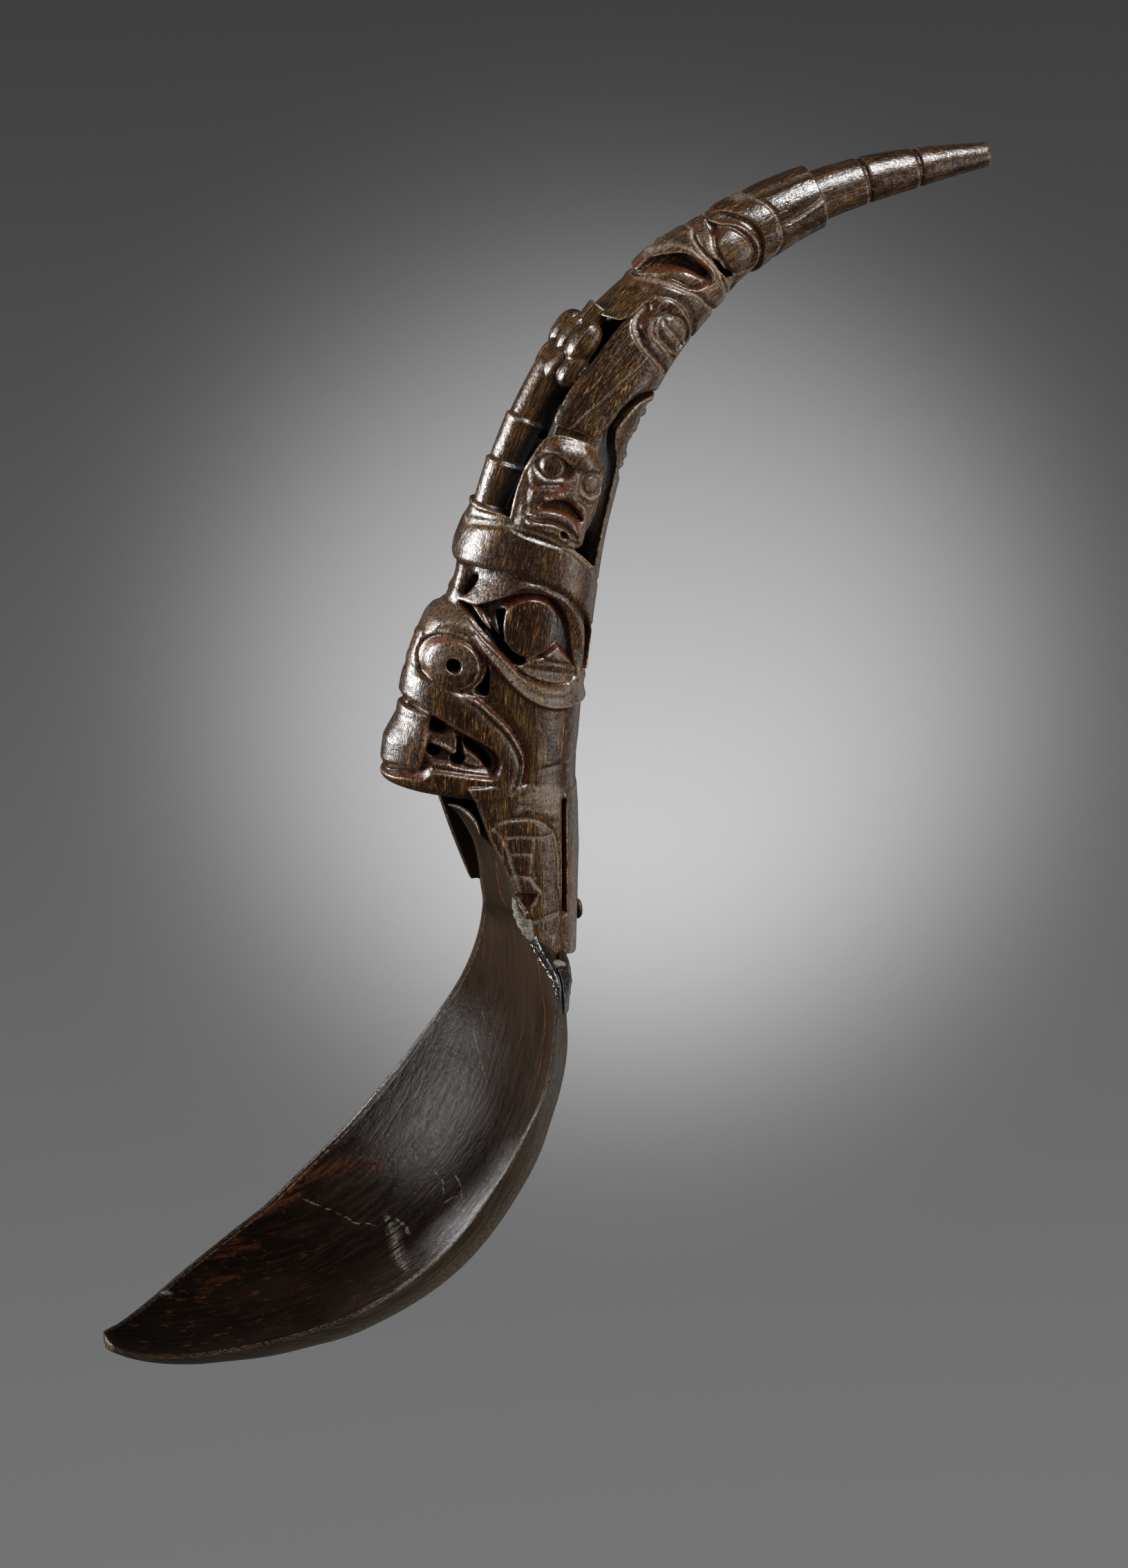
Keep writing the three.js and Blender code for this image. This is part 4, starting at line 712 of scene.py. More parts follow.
def surface(values, axes):
    """Quads along the zero level of a field: one vertex in each cell that the level passes through."""
    solid = values > 0
    count = np.zeros(tuple(n - 1 for n in values.shape), np.int8)
    corners = [(a, b, c) for a in (0, 1) for b in (0, 1) for c in (0, 1)]
    n0, n1, n2 = count.shape
    for a, b, c in corners:
        count += solid[a:a + n0, b:b + n1, c:c + n2]
    cells = np.argwhere((count > 0) & (count < 8))
    index = np.full(count.shape, -1, np.int32)
    index[tuple(cells.T)] = np.arange(len(cells))
    total = np.zeros((len(cells), 3))
    crossings = np.zeros(len(cells))
    for a in corners:
        for axis in range(3):
            if a[axis]:
                continue
            b = tuple(v + (k == axis) for k, v in enumerate(a))
            fa = values[cells[:, 0] + a[0], cells[:, 1] + a[1], cells[:, 2] + a[2]]
            fb = values[cells[:, 0] + b[0], cells[:, 1] + b[1], cells[:, 2] + b[2]]
            hit = (fa > 0) != (fb > 0)
            at = np.tile(np.array(a, float), (len(cells), 1))
            at[:, axis] += np.where(hit, fa / np.where(hit, fa - fb, 1), 0)
            total += at * hit[:, None]
            crossings += hit
    points = cells + total / crossings[:, None]
    quads = []
    for axis in range(3):
        o1, o2 = [k for k in range(3) if k != axis]
        first = [slice(1, -1)] * 3
        first[axis] = slice(0, -1)
        second = list(first)
        second[axis] = slice(1, None)
        edges = np.argwhere(solid[tuple(first)] != solid[tuple(second)])
        edges += [0 if k == axis else 1 for k in range(3)]
        up = solid[tuple(edges.T)]
        ring = []
        for d1, d2 in ((-1, -1), (0, -1), (0, 0), (-1, 0)):
            cell = edges.copy()
            cell[:, o1] += d1
            cell[:, o2] += d2
            ring.append(index[tuple(cell.T)])
        ring = np.stack(ring, 1)
        flip = up if axis != 1 else ~up
        ring[~flip] = ring[~flip][:, ::-1]
        quads.append(ring)
    quads = np.vstack(quads)
    spacing = np.array([a[1] - a[0] for a in axes])
    return points * spacing + np.array([a[0] for a in axes]), quads


def keep_large(points, quads, least=400):
    """Drops loose crumbs of fewer than the given number of vertices."""
    label = np.arange(len(points))
    while True:
        low_label = label[quads].min(1)
        new = label.copy()
        np.minimum.at(new, quads.ravel(), np.repeat(low_label, 4))
        new = new[new]
        if (new == label).all():
            break
        label = new
    sizes = np.bincount(label, minlength=len(points))
    keep = sizes[label] >= least
    renumber = np.cumsum(keep) - 1
    return points[keep], renumber[quads[keep[quads[:, 0]]]]


straight, quads = keep_large(*surface(field, (x_axis, y_full, s_axis)))
del field


def vertex_normals(points, faces):
    """Directions of the vertices, weighted by the areas around them."""
    a, b, c, d = (points[faces[:, k]] for k in range(4))
    n = np.cross(c - a, d - b)
    total = np.zeros_like(points)
    for k in range(4):
        np.add.at(total, faces[:, k], n)
    return total / (np.linalg.norm(total, axis=1, keepdims=True) + 1e-9)


def spread(points_value, faces, times):
    """Averages a value over neighbouring vertices."""
    v = points_value.astype(float)
    for _ in range(times):
        mean = v[faces].mean(1)
        total, n = np.zeros_like(v), np.zeros(len(v))
        for k in range(4):
            np.add.at(total, faces[:, k], mean)
            np.add.at(n, faces[:, k], 1)
        v = total / np.maximum(n, 1).reshape((-1,) + (1,) * (v.ndim - 1))
    return v


def roundness(points, faces, times):
    """How far each vertex stands out of (positive) or lies in (negative) the surface around it."""
    middle = spread(points, faces, times)
    return np.einsum("ij,ij->i", points - middle, vertex_normals(points, faces))


def place(name, data):
    """New object in the scene."""
    obj = bpy.data.objects.new(name, data)
    bpy.context.scene.collection.objects.link(obj)
    return obj


def build(name, points, faces, body="root", slot=None, stands_for=None, **maps):
    """Mesh piece from points in working millimetres; its maps are vectors that the materials read."""
    mesh = bpy.data.meshes.new(name)
    faces = np.asarray(faces, np.int32)
    mesh.vertices.add(len(points))
    mesh.vertices.foreach_set("co", ((points - SHIFT) * MM).astype(np.float32).ravel())
    mesh.loops.add(faces.size)
    mesh.loops.foreach_set("vertex_index", faces.ravel())
    mesh.polygons.add(len(faces))
    mesh.polygons.foreach_set("loop_start", np.arange(len(faces), dtype=np.int32) * faces.shape[1])
    mesh.update(calc_edges=True)
    mesh.validate()
    mesh.polygons.foreach_set("use_smooth", np.full(len(mesh.polygons), True))
    for key, values in maps.items():
        made = mesh.attributes.new(key, "FLOAT_VECTOR", "POINT")
        made.data.foreach_set("vector", np.asarray(values, np.float32).ravel())
    obj = place(name, mesh)
    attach(obj, body)
    if stands_for:
        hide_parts(stands_for)
    return obj


rounded = roundness(straight, quads, 2)
wide_round = roundness(straight, quads, 9)
hx, hy, hs = straight.T
steep_map = np.hypot(*np.gradient(soften(relief, 0.2), FINE))
under = np.hypot(hx, hy) * (1 / share(hx, hy, hs, HORN, np.where(hs < 38.5, LEG_SQUARE, 2.0)) - 1)
on_skin = 1 - ease((np.abs(under - sample(relief, hx, hs)) - 0.4) / 0.8)
handle = build(
    "carved_handle", bend(hx, hy, hs), quads, slot="handle_horn", stands_for="handle", fibre=straight,
    form=np.stack([rounded, wide_round, under], 1),
    paint=np.stack([sample(values, hx, hs) * on_skin for values in (dust_and_glints, wear_and_highlight, steep_map)], 1))

# ---------------------------------------------------------------- bowl
ROWS_PER, SIDES = 10, 40
RIM_MIDDLE = 4                                      # points from the end of a section to its rim's middle
rows = curve(np.vstack([BOWL, TANG_TOP]), parts=ROWS_PER)
travel = np.gradient(rows[:, :2], axis=0)
travel /= np.linalg.norm(travel, axis=1, keepdims=True)
outward = np.stack([travel[:, 1], -travel[:, 0]], 1)
run_length = np.concatenate([[0], np.cumsum(np.linalg.norm(np.diff(rows[:, :2], axis=0), axis=1))])


def tube(rows, count, flip=False):
    """Quads between the rings of a tube whose points come row by row."""
    ring = np.arange(rows * count).reshape(rows, count)
    after = np.roll(ring, -1, 1)
    quads = np.stack([ring[:-1], after[:-1], after[1:], ring[1:]], -1).reshape(-1, 4)
    return quads[:, [0, 3, 2, 1]] if flip else quads


def closed_tube(rows, count, turned=0, flip=False):
    """The same with a strip of quads across each end ring, which may be turned by some points."""
    k = np.arange(count // 2 - 1)
    faces = [tube(rows, count, flip)]
    for first, way in ((0, -1), ((rows - 1) * count, 1)):
        ring = first + np.roll(np.arange(count), turned)
        cap = np.stack([ring[k], ring[k + 1], ring[count - 2 - k], ring[count - 1 - k]], 1)
        faces.append(cap[:, ::-way if flip else way])
    return np.vstack(faces)


def section(half, deep, wall):
    """Closed section of the bowl: outside, flat rim with small bevels, inside; points are (across, depth)."""
    inner_half, inner_deep = half - wall, max(deep - wall, 0.3)

    def side(reach, depth, margin):
        y = -reach * np.cos(np.linspace(margin, np.pi - margin, SIDES + 1))
        return np.stack([y, depth * (1 - (np.abs(y) / reach) ** BELLY)], 1)

    top = wall * np.array([0.05, 0.13, 0.40, 0.66, 0.80, 0.90, 0.98])
    drop = np.array([0.13, 0.02, 0.0, 0.02, 0.10, 0.24, 0.30])
    bevel = np.stack([half - top, drop * wall / WALL], 1)
    return np.vstack([side(half, deep, 0.06), bevel, side(inner_half, inner_deep, 0.10)[::-1],
                      bevel[::-1] * [-1, 1]])


loops = []
for row, out, left in zip(rows, outward, run_length[-1] - run_length):
    ring = section(row[2], row[3], WALL * (0.5 + 0.5 * float(ease(left / 6.0))))
    loops.append(np.stack([row[0] + out[0] * ring[:, 1], ring[:, 0], row[1] + out[1] * ring[:, 1]], 1))
loops = np.array(loops)
n_rows, n_ring = loops.shape[:2]
bowl_faces = closed_tube(n_rows, n_ring, turned=RIM_MIDDLE)
bowl_points = loops.reshape(-1, 3)
bowl_round = roundness(bowl_points, bowl_faces, 3)
outside = np.tile(np.arange(n_ring) <= SIDES, n_rows)
nothing = np.zeros(len(bowl_points))
bowl = build("moulded_bowl", bowl_points, bowl_faces[:, ::-1], slot="bowl_horn", stands_for="bowl",
             skin=np.stack([np.repeat(run_length, n_ring), bowl_points[:, 1], nothing], 1),
             form=np.stack([bowl_round, outside, nothing], 1))


def row_at(z):
    """Row of the bowl at a height above its deepest part."""
    high, ways = rows[NECK * ROWS_PER:], outward[NECK * ROWS_PER:]
    order = np.argsort(high[:, 1])
    mixed = [np.interp(z, high[order, 1], high[order, k]) for k in range(4)]
    out = np.array([np.interp(z, high[order, 1], ways[order, k]) for k in (0, 1)])
    return mixed, out / np.linalg.norm(out)


def wobble(a, b, seed):
    """Smooth irregular value between -1 and 1."""
    return (np.sin(a * 2.1 + seed) * np.sin(b * 1.7 + 2.3 * seed) + 0.5 * np.sin(a * 4.7 + b * 2.9 + seed)
            + 0.3 * np.sin(a * 9.1 - b * 7.7 + 3 * seed)) / 1.8


def drape(low, high, edges, height, seed, along=56, around=26):
    """Uneven lump over the near rim of the tang; its edges say how far inside and outside the rim it goes."""
    points = []
    for r in range(along + 1):
        t = r / along
        (rx, rz, half, deep), out = row_at(low + (high - low) * t)
        edge, inner_half, inner_deep = -half, half - WALL, deep - WALL
        swell_here = (0.15 + 0.85 * math.sin(math.pi * t) ** 0.6) * (1 + 0.2 * wobble(17 * t, 2.0, seed))
        inner_at, outer_at = (np.interp(t, (0, 0.5, 1), side) for side in edges)
        ys = np.linspace(edge + inner_at, edge - 0.02, around + 1)
        floor_at = np.where(-ys > inner_half, 0.0, inner_deep * (1 - np.clip(-ys / inner_half, 0, 1) ** BELLY))
        flank = np.linspace(0, outer_at, around // 2 + 1)[1:]
        ys = np.concatenate([ys, edge - 0.30 - 0 * flank])
        floor_at = np.concatenate([floor_at, flank])
        u = np.linspace(0, 1, len(ys))
        rise = height * swell_here * np.sin(np.pi * u) ** 0.6
        rise = rise * (0.8 + 0.28 * np.array([wobble(14 * t, 7 * v, seed) for v in u]))
        way = np.where(u < 0.62, 0.0, (u - 0.62) / 0.38)
        top = np.stack([ys - rise * way, floor_at - rise * (1 - way)], 1)
        base = np.stack([ys + 0.3, floor_at + 0.3], 1)
        ring = np.vstack([base, top[::-1]])
        points += [(rx + out[0] * d, y, rz + out[1] * d) for y, d in ring]
    return np.array(points, float), closed_tube(along + 1, len(ring))


def blob(centre, radii, seed, rings=14, around=24):
    """Small rough lump."""
    points = []
    for j in range(rings + 1):
        v = math.pi * (0.04 + 0.92 * j / rings)
        for k in range(around):
            a = 2 * math.pi * k / around
            way = np.array([math.sin(v) * math.cos(a), math.sin(v) * math.sin(a), math.cos(v)])
            points.append(centre + way * radii * (1 + 0.16 * wobble(3 * way[0] + way[2], 3 * way[1], seed)))
    return np.array(points, float), closed_tube(rings + 1, around, flip=True)


def lumps(name, slot, stands_for, *parts):
    """One piece from several closed lumps."""
    points, faces, start = [], [], 0
    for some_points, some_faces in parts:
        points.append(some_points)
        faces.append(some_faces + start)
        start += len(some_points)
    points = np.vstack(points)
    return build(name, points, np.vstack(faces), slot=slot, stands_for=stands_for, fibre=points)


bead = lumps("pitch_line", "pitch", "pitch_bead",
             drape(-0.6, 9.4, ((1.0, 2.4, 2.0), (0.2, 0.8, 1.4)), 0.7, 1.0))
patch = lumps("filler_lump", "filler", "filler_patch",
              drape(9.0, 16.6, ((3.6, 4.6, 2.6), (0.8, 1.8, 0.6)), 1.0, 4.0),
              blob(np.array([1.0, -16.0, 3.7]), np.array([2.1, 1.0, 1.2]), 2.0))

# Pitch around the back of the tang, just below the legs.
FOOT_LOW, FOOT_HIGH, FOOT_THICK, FOOT_SHARE = -4.5, 3.2, 1.6, 0.86
foot_rows, foot_around = 22, 60
foot_points = []
for r in range(foot_rows + 1):
    t = r / foot_rows
    z_here = FOOT_LOW + (FOOT_HIGH - FOOT_LOW) * t
    (rx, rz, half, deep), out = row_at(z_here)
    thick = FOOT_THICK * (0.15 + 0.75 * ease(t * 1.3))
    outer, inner = [], []
    for k in range(foot_around + 1):
        v = 2 * k / foot_around - 1
        y = v * half * FOOT_SHARE
        end = ease((1 - abs(v)) / 0.12)
        rough = 1 + 0.22 * wobble(y * 0.9, z_here * 1.1, 2.0)
        skin_here = thick * end * rough * (1 - 0.35 * ease((t - 0.9) / 0.1))
        base = deep * (1 - (abs(y) / half) ** BELLY) + GAP
        outer.append((y, base + 0.05 + min(skin_here, FOOT_THICK)))
        inner.append((y, base))
    for y, d in outer + inner[::-1]:
        foot_points.append((rx + out[0] * d, y, rz + out[1] * d))
foot_points = np.array(foot_points)
foot = build("pitch_skirt", foot_points, closed_tube(foot_rows + 1, 2 * (foot_around + 1)), slot="pitch",
             stands_for="pitch_foot", fibre=foot_points)

# Rivet: shank through the socket, low worn dome outside.
rivet_low, rivet_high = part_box("rivet")
rivet_start = rivet_low.x / MM
head_depth, head_radius, shank_radius = 1.1, 2.1, 1.3
under_head = rivet_high.x / MM - rivet_start - head_depth
# [radius, distance from the shank's inner end]
dome = [[0, 0.0], [1.15, 0.0], [shank_radius, 0.2], [shank_radius, under_head - 0.02], [1.95, under_head],
        [head_radius, under_head + 0.22], [2.0, under_head + 0.5], [1.7, under_head + 0.8],
        [1.1, under_head + 1.02], [0.5, under_head + 1.08], [0.0, under_head + head_depth]]
turns = 40
rivet_points = []
for r, h in dome:
    for k in range(turns):
        a = 2 * math.pi * k / turns
        rough = 1 + 0.035 * wobble(3 * a, h, 5.0) * (r > shank_radius)
        rivet_points.append((rivet_start + h, r * rough * math.cos(a),
                             RIVET_Z - SHIFT[2] + r * rough * math.sin(a)))
rivet_points = np.array(rivet_points) + SHIFT
rivet = build("worn_rivet", rivet_points, tube(len(dome), turns, flip=True), slot="rivet_copper",
              stands_for="rivet", fibre=rivet_points)


# ---------------------------------------------------------------- materials
class Nodes:
    """Small helper that strings shader nodes together."""

    def __init__(self, name):
        self.material = bpy.data.materials.new(name)
        self.material.use_nodes = True
        self.tree = self.material.node_tree
        self.tree.nodes.clear()
        self.shader = self.tree.nodes.new("ShaderNodeBsdfPrincipled")
        out = self.tree.nodes.new("ShaderNodeOutputMaterial")
        self.tree.links.new(self.shader.outputs[0], out.inputs[0])

    def put(self, socket, value):
        """Links or sets a socket."""
        if isinstance(value, bpy.types.NodeSocket):
            self.tree.links.new(value, socket)
        else:
            socket.default_value = value

    def node(self, kind, **values):
        """New node with some of its named inputs set or linked."""
        made = self.tree.nodes.new("ShaderNode" + kind)
        for key, value in values.items():
            self.put(made.inputs[key], value)
        return made

    def attribute(self, name):
        node = self.node("Attribute")
        node.attribute_name = name
        return node.outputs["Vector"]

    def split(self, vector):
        return self.node("SeparateXYZ", Vector=vector).outputs[:]

    def noise(self, vector, scale=1.0, detail=3.0, rough=0.55, warp=0.0, shift=(0, 0, 0)):
        """Noise at one scale, or at a scale for each axis with a shift."""
        if isinstance(scale, tuple):
            vector = self.node("Mapping", Vector=vector, Scale=scale, Location=shift).outputs[0]
            scale = 1.0
        made = self.node("TexNoise", Vector=vector, Scale=scale, Detail=detail, Roughness=rough, Distortion=warp)
        return made.outputs["Fac"]

    def math(self, kind, a, b, clamp=False):
        node = self.node("Math")
        node.operation = kind
        node.use_clamp = clamp
        self.put(node.inputs[0], a)
        self.put(node.inputs[1], b)
        return node.outputs[0]

    def times(self, a, b):
        return self.math("MULTIPLY", a, b)

    def plus(self, a, b):
        return self.math("ADD", a, b)

    def minus(self, a, b):
        return self.math("SUBTRACT", a, b)

    def span(self, value, low, high, to_low=0.0, to_high=1.0):
        """Eases from to_low to to_high while the value goes from low to high."""
        node = self.node("MapRange")
        node.interpolation_type = "SMOOTHSTEP"
        for key, v in (("Value", value), ("From Min", low), ("From Max", high), ("To Min", to_low),
                       ("To Max", to_high)):
            self.put(node.inputs[key], v)
        return node.outputs[0]

    def over(self, base, color, amount, part):
        """A colour laid over the base where amount is high, at most by part."""
        return self.mix(self.times(amount, part), base, color)

    def mix(self, factor, a, b):
        node = self.node("Mix")
        node.data_type = "RGBA"
        self.put(node.inputs[0], factor)
        for socket, value in ((node.inputs[6], a), (node.inputs[7], b)):
            if isinstance(value, tuple):
                value = tuple(value) + (1.0,) if len(value) == 3 else value
            self.put(socket, value)
        return node.outputs[2]

    def bump(self, height, strength, distance, normal=None):
        node = self.node("Bump", Strength=strength, Distance=distance, Height=height)
        if normal is not None:
            self.put(node.inputs["Normal"], normal)
        return node.outputs[0]

    def stroke(self, at, points, width):
        """One on a thin line through the points, zero away from it."""
        nearest = None
        for a, b in zip(points, points[1:]):
            step = Vector((b[0] - a[0], b[1] - a[1], 0.0))
            from_a = self.vector("SUBTRACT", at, (a[0], a[1], 0.0))
            share_along = self.vector("DOT_PRODUCT", from_a, tuple(step / step.length_squared))
            share_along = self.math("ADD", share_along, 0.0, clamp=True)
            on_line = self.vector("SCALE", tuple(step), share_along)
            far = self.vector("LENGTH", self.vector("SUBTRACT", from_a, on_line))
            nearest = far if nearest is None else self.math("MINIMUM", nearest, far)
        return self.span(nearest, width, 0.35 * width)

    def vector(self, kind, a, b=None):
        node = self.node("VectorMath")
        node.operation = kind
        self.put(node.inputs[0], a)
        if b is not None:
            self.put(node.inputs["Scale"] if kind == "SCALE" else node.inputs[1], b)
        return node.outputs["Value" if kind in ("DOT_PRODUCT", "LENGTH") else "Vector"]

    def finish(self, obj, color, rough, normal=None, **constants):
        self.put(self.shader.inputs["Base Color"], color)
        self.put(self.shader.inputs["Roughness"], rough)
        if normal is not None:
            self.put(self.shader.inputs["Normal"], normal)
        for key, value in constants.items():
            self.shader.inputs[key.replace("_", " ")].default_value = value
        obj.data.materials.clear()
        obj.data.materials.append(self.material)


def paint_handle():
    n = Nodes("carved_horn")
    at = n.attribute("fibre")
    form, wide, under = n.split(n.attribute("form"))
    dust_and_glint, wear_and_highlight_here, steep_here = n.split(n.attribute("paint"))
    big = n.noise(at, (0.10, 0.10, 0.035), detail=2)
    medium = n.noise(at, (0.45, 0.45, 0.14), shift=(3, 1, 7), detail=3)
    fine = n.noise(at, (3.4, 3.4, 0.20), shift=(1, 5, 2), detail=3, rough=0.6)
    streak = n.noise(at, (4.6, 4.6, 0.30), shift=(8, 2, 4), detail=3, rough=0.6)
    fleck = n.noise(at, (3.4, 3.4, 0.9), shift=(2, 9, 1), detail=2, rough=0.5)
    along = n.split(at)[2]
    tail = n.span(along, 176.0, 179.0)
    under = n.times(under, n.minus(1.0, tail))
    grain = n.noise(at, 1.8, 4, 0.75)
    base = n.mix(n.span(big, 0.38, 0.64), (0.036, 0.0118, 0.0043), (0.085, 0.041, 0.0125))
    base = n.mix(n.span(fine, 0.44, 0.60), n.mix(0.8, base, (0.004, 0.002, 0.0012)), base)
    base = n.over(base, (0.17, 0.085, 0.027), n.span(fine, 0.55, 0.70), 0.42)
    # Rubbed grey horn, in places a painted highlight; red-brown cut faces; pale edges, partly wear and partly
    # painted highlight; painted shade in hollows, deep cuts and the tip's rings; dust, and painted glints on the
    # legs' crust.
    rubbed_and_highlight = n.times(wear_and_highlight_here, n.span(grain, 0.35, 0.65, 0.0, 0.75))
    base = n.mix(rubbed_and_highlight, base, (0.150, 0.115, 0.082))
    gold = n.times(n.span(streak, 0.565, 0.65), n.span(medium, 0.45, 0.60))
    gold = n.times(gold, n.span(tail, 0.0, 1.0, 0.74, 0.25))
    base = n.mix(gold, base, (0.50, 0.265, 0.075))
    amber = n.times(n.span(fleck, 0.64, 0.70), n.span(medium, 0.60, 0.42))
    base = n.over(base, (0.42, 0.13, 0.028), amber, 0.55)
    red = n.times(n.span(steep_here, 0.35, 1.4), n.span(grain, 0.38, 0.62, 0.1, 1.0))
    base = n.over(base, (0.14, 0.025, 0.007), red, 0.7)
    # Painted shade in hollows.
    hollow = n.span(wide, -0.02, -0.18)
    base = n.over(base, (0.008, 0.0035, 0.002), hollow, 0.88)
    # Pale edges: partly wear, partly a painted highlight on the carved ridges.
    rim = n.times(n.span(form, 0.018, 0.060), n.span(grain, 0.38, 0.60, 0.1, 1.0))
    base = n.over(base, (0.34, 0.25, 0.165), rim, 0.75)
    # Painted shade deep below the horn's surface, in cuts and holes.
    base = n.mix(n.span(under, 1.7, 3.6), base, (0.004, 0.0025, 0.002))
    creviced = n.times(n.span(form, -0.02, -0.08), n.span(grain, 0.46, 0.58))
    creviced = n.times(creviced, n.minus(1.0, tail))
    # Painted shade in the tip's scribed rings.
    ring_shade = n.times(n.span(form, -0.015, -0.05), tail)
    base = n.mix(ring_shade, base, (0.004, 0.0025, 0.002))
    pale = n.math("MAXIMUM", n.times(creviced, 0.5),
                  n.times(dust_and_glint, n.span(grain, 0.40, 0.56, 0.15, 1.0)))
    pale = n.times(pale, n.span(under, 3.2, 1.6))
    base = n.over(base, (0.38, 0.30, 0.21), pale, 0.8)
    rough = n.plus(n.span(grain, 0.36, 0.64, 0.17, 0.36), n.times(pale, 0.4))
    rough = n.plus(rough, n.span(under, 2.0, 5.0, 0.0, 0.3))
    collar = n.times(n.span(along, 160.0, 166.0), n.span(along, 177.0, 176.0))
    base = n.over(base, (0.012, 0.006, 0.003), collar, 0.4)
    rough = n.minus(rough, n.times(collar, 0.10))
    height = n.plus(n.times(fine, 0.7), grain)
    normal = n.bump(height, 0.35, 0.00020)
    dents = n.noise(at, 0.45, 2, 0.5)
    normal = n.bump(dents, 0.22, 0.0008, normal)
    n.finish(handle, base, rough, normal, IOR=1.54)


PALE, RUST, RED = (0.40, 0.36, 0.30), (0.17, 0.045, 0.016), (0.34, 0.085, 0.030)
BOWL_STROKES = [
    (P(50.6,27.8, 51.3,26.5, 53.9,22.8, 55.2,19.4, 57.8,16.2), 0.18, PALE, 0.55),
    (P(60.6,16.4, 60,13.5, 58.4,9, 57,4.6, 56.9,-0.4), 0.75, PALE, 0.38),
    (P(16.4,15.6, 17.2,15.3), 1.0, PALE, 0.9),
    (P(60,13, 58,7.6, 57.4,2.4), 1.9, PALE, 0.18),
    (P(61.4,15, 61.9,11.8, 61.4,8.6), 0.40, PALE, 0.4),
    (P(66,2, 63.6,-0.6, 60.4,-2.8), 0.50, PALE, 0.35),
    (P(62.6,-5, 59,-7.6, 55.4,-8.8), 0.35, PALE, 0.3),
    (P(72,15.6, 71.6,12.4, 70.2,10.4), 0.16, PALE, 0.6),
    (P(71.8,4.8, 73.4,8, 74,11), 0.16, PALE, 0.5),
    (P(69.4,8.6, 72.6,5.6), 0.14, PALE, 0.5),
    (P(76.4,19, 77,17.8), 1.1, PALE, 0.16),
    (P(98,21.6, 96,20.1, 91.2,15.3), 0.14, PALE, 0.5),
    (P(104,22.4, 100.6,20), 0.14, PALE, 0.35),
    (P(86,27, 80,26), 0.14, PALE, 0.3),
    (P(48,30.4, 54,30, 58,29.4, 62,28, 65.4,25.1), 1.9, RUST, 0.45),
    (P(40,27.6, 45,28.6, 50,28.4), 1.6, RUST, 0.45),
    (P(30,21.5, 35,23.6, 38,23), 1.6, RUST, 0.45),
    (P(22,14, 27,17.5, 31,17), 1.4, RUST, 0.45),
    (P(139,4, 134,5.4, 128,6.6), 0.45, RED, 0.9),
    (P(118,3, 108,0.5, 99,-1), 0.40, RED, 0.7),
    (P(121,-3, 112,-5), 0.45, RED, 0.6),
]


def paint_bowl():
    n = Nodes("bowl_horn")
    flow = n.attribute("skin")
    form, outer, _ = n.split(n.attribute("form"))
    along = n.split(flow)[0]
    big = n.noise(flow, (0.03, 0.06, 1), detail=3)
    fine = n.noise(flow, (0.12, 1.3, 1), shift=(3, 3, 0), detail=4, rough=0.6)
    grain = n.noise(flow, (1.3, 1.3, 1), detail=4, rough=0.7)
    neck = n.span(along, 70.0, 135.0)
    dark = n.mix(neck, (0.006, 0.0033, 0.0022), (0.040, 0.024, 0.015))
    light = n.mix(neck, (0.020, 0.0105, 0.0065), (0.075, 0.047, 0.030))
    base = n.mix(n.span(big, 0.35, 0.7), dark, light)
    fibres = n.mix(neck, (0.045, 0.020, 0.010), (0.115, 0.070, 0.040))
    base = n.over(base, fibres, n.span(fine, 0.45, 0.75), 0.5)
    # Painted shade at the tang's top, under the head.
    base = n.mix(n.span(along, 146.0, 158.0, 0.0, 0.75), base, (0.010, 0.0058, 0.0038))
    # Lighter brown on the outer side: partly the horn's own tone, partly painted light.
    side = n.mix(n.span(fine, 0.40, 0.66), (0.035, 0.022, 0.012), (0.120, 0.082, 0.045))
    base = n.over(base, side, outer, 0.8)
    inner = n.minus(1.0, outer)
    toward_tip = n.times(n.span(along, 62.0, 18.0), inner)
    patchy = n.noise(flow, (0.35, 0.8, 1), shift=(9, 4, 0), detail=5, rough=0.7)
    ember = n.times(n.span(patchy, 0.56, 0.70), toward_tip)
    base = n.over(base, (0.24, 0.060, 0.016), ember, 0.75)
    # Pale line along the rim's edges: partly wear, partly a painted highlight.
    edge = n.span(form, 0.02, 0.09)
    rim = n.times(edge, n.span(grain, 0.40, 0.62))
    base = n.over(base, (0.27, 0.20, 0.14), rim, 0.7)
    # Crack, scratches and scuffs inside, as (run from the tip, across).
    sway = n.noise(flow, (0.5, 0.5, 1), shift=(1, 2, 0), detail=3)
    at = n.vector("ADD", flow, n.vector("SCALE", (1.0, 1.0, 0.0), n.minus(sway, 0.5)))
    broken = n.times(n.span(fine, 0.40, 0.56), n.times(n.span(grain, 0.38, 0.50), inner))
    for points, width, color, share_here in BOWL_STROKES:
        mark = n.times(n.stroke(at, points, width), broken)
        base = n.over(base, color, mark, share_here)
    rough = n.plus(n.span(grain, 0.3, 0.7, 0.20, 0.34), n.span(fine, 0.3, 0.7, -0.05, 0.06))
    rough = n.minus(rough, n.times(edge, 0.08))
    brush = n.noise(flow, (0.30, 0.95, 1), shift=(5, 1, 0), detail=4, rough=0.65, warp=0.6)
    rough = n.plus(rough, n.span(brush, 0.35, 0.65, -0.04, 0.10))
    height = n.plus(n.times(fine, 0.7), n.times(grain, 0.4))
    height = n.plus(height, brush)
    normal = n.bump(height, 0.5, 0.00030)
    n.finish(bowl, base, rough, normal, IOR=1.5, Specular_IOR_Level=0.22)


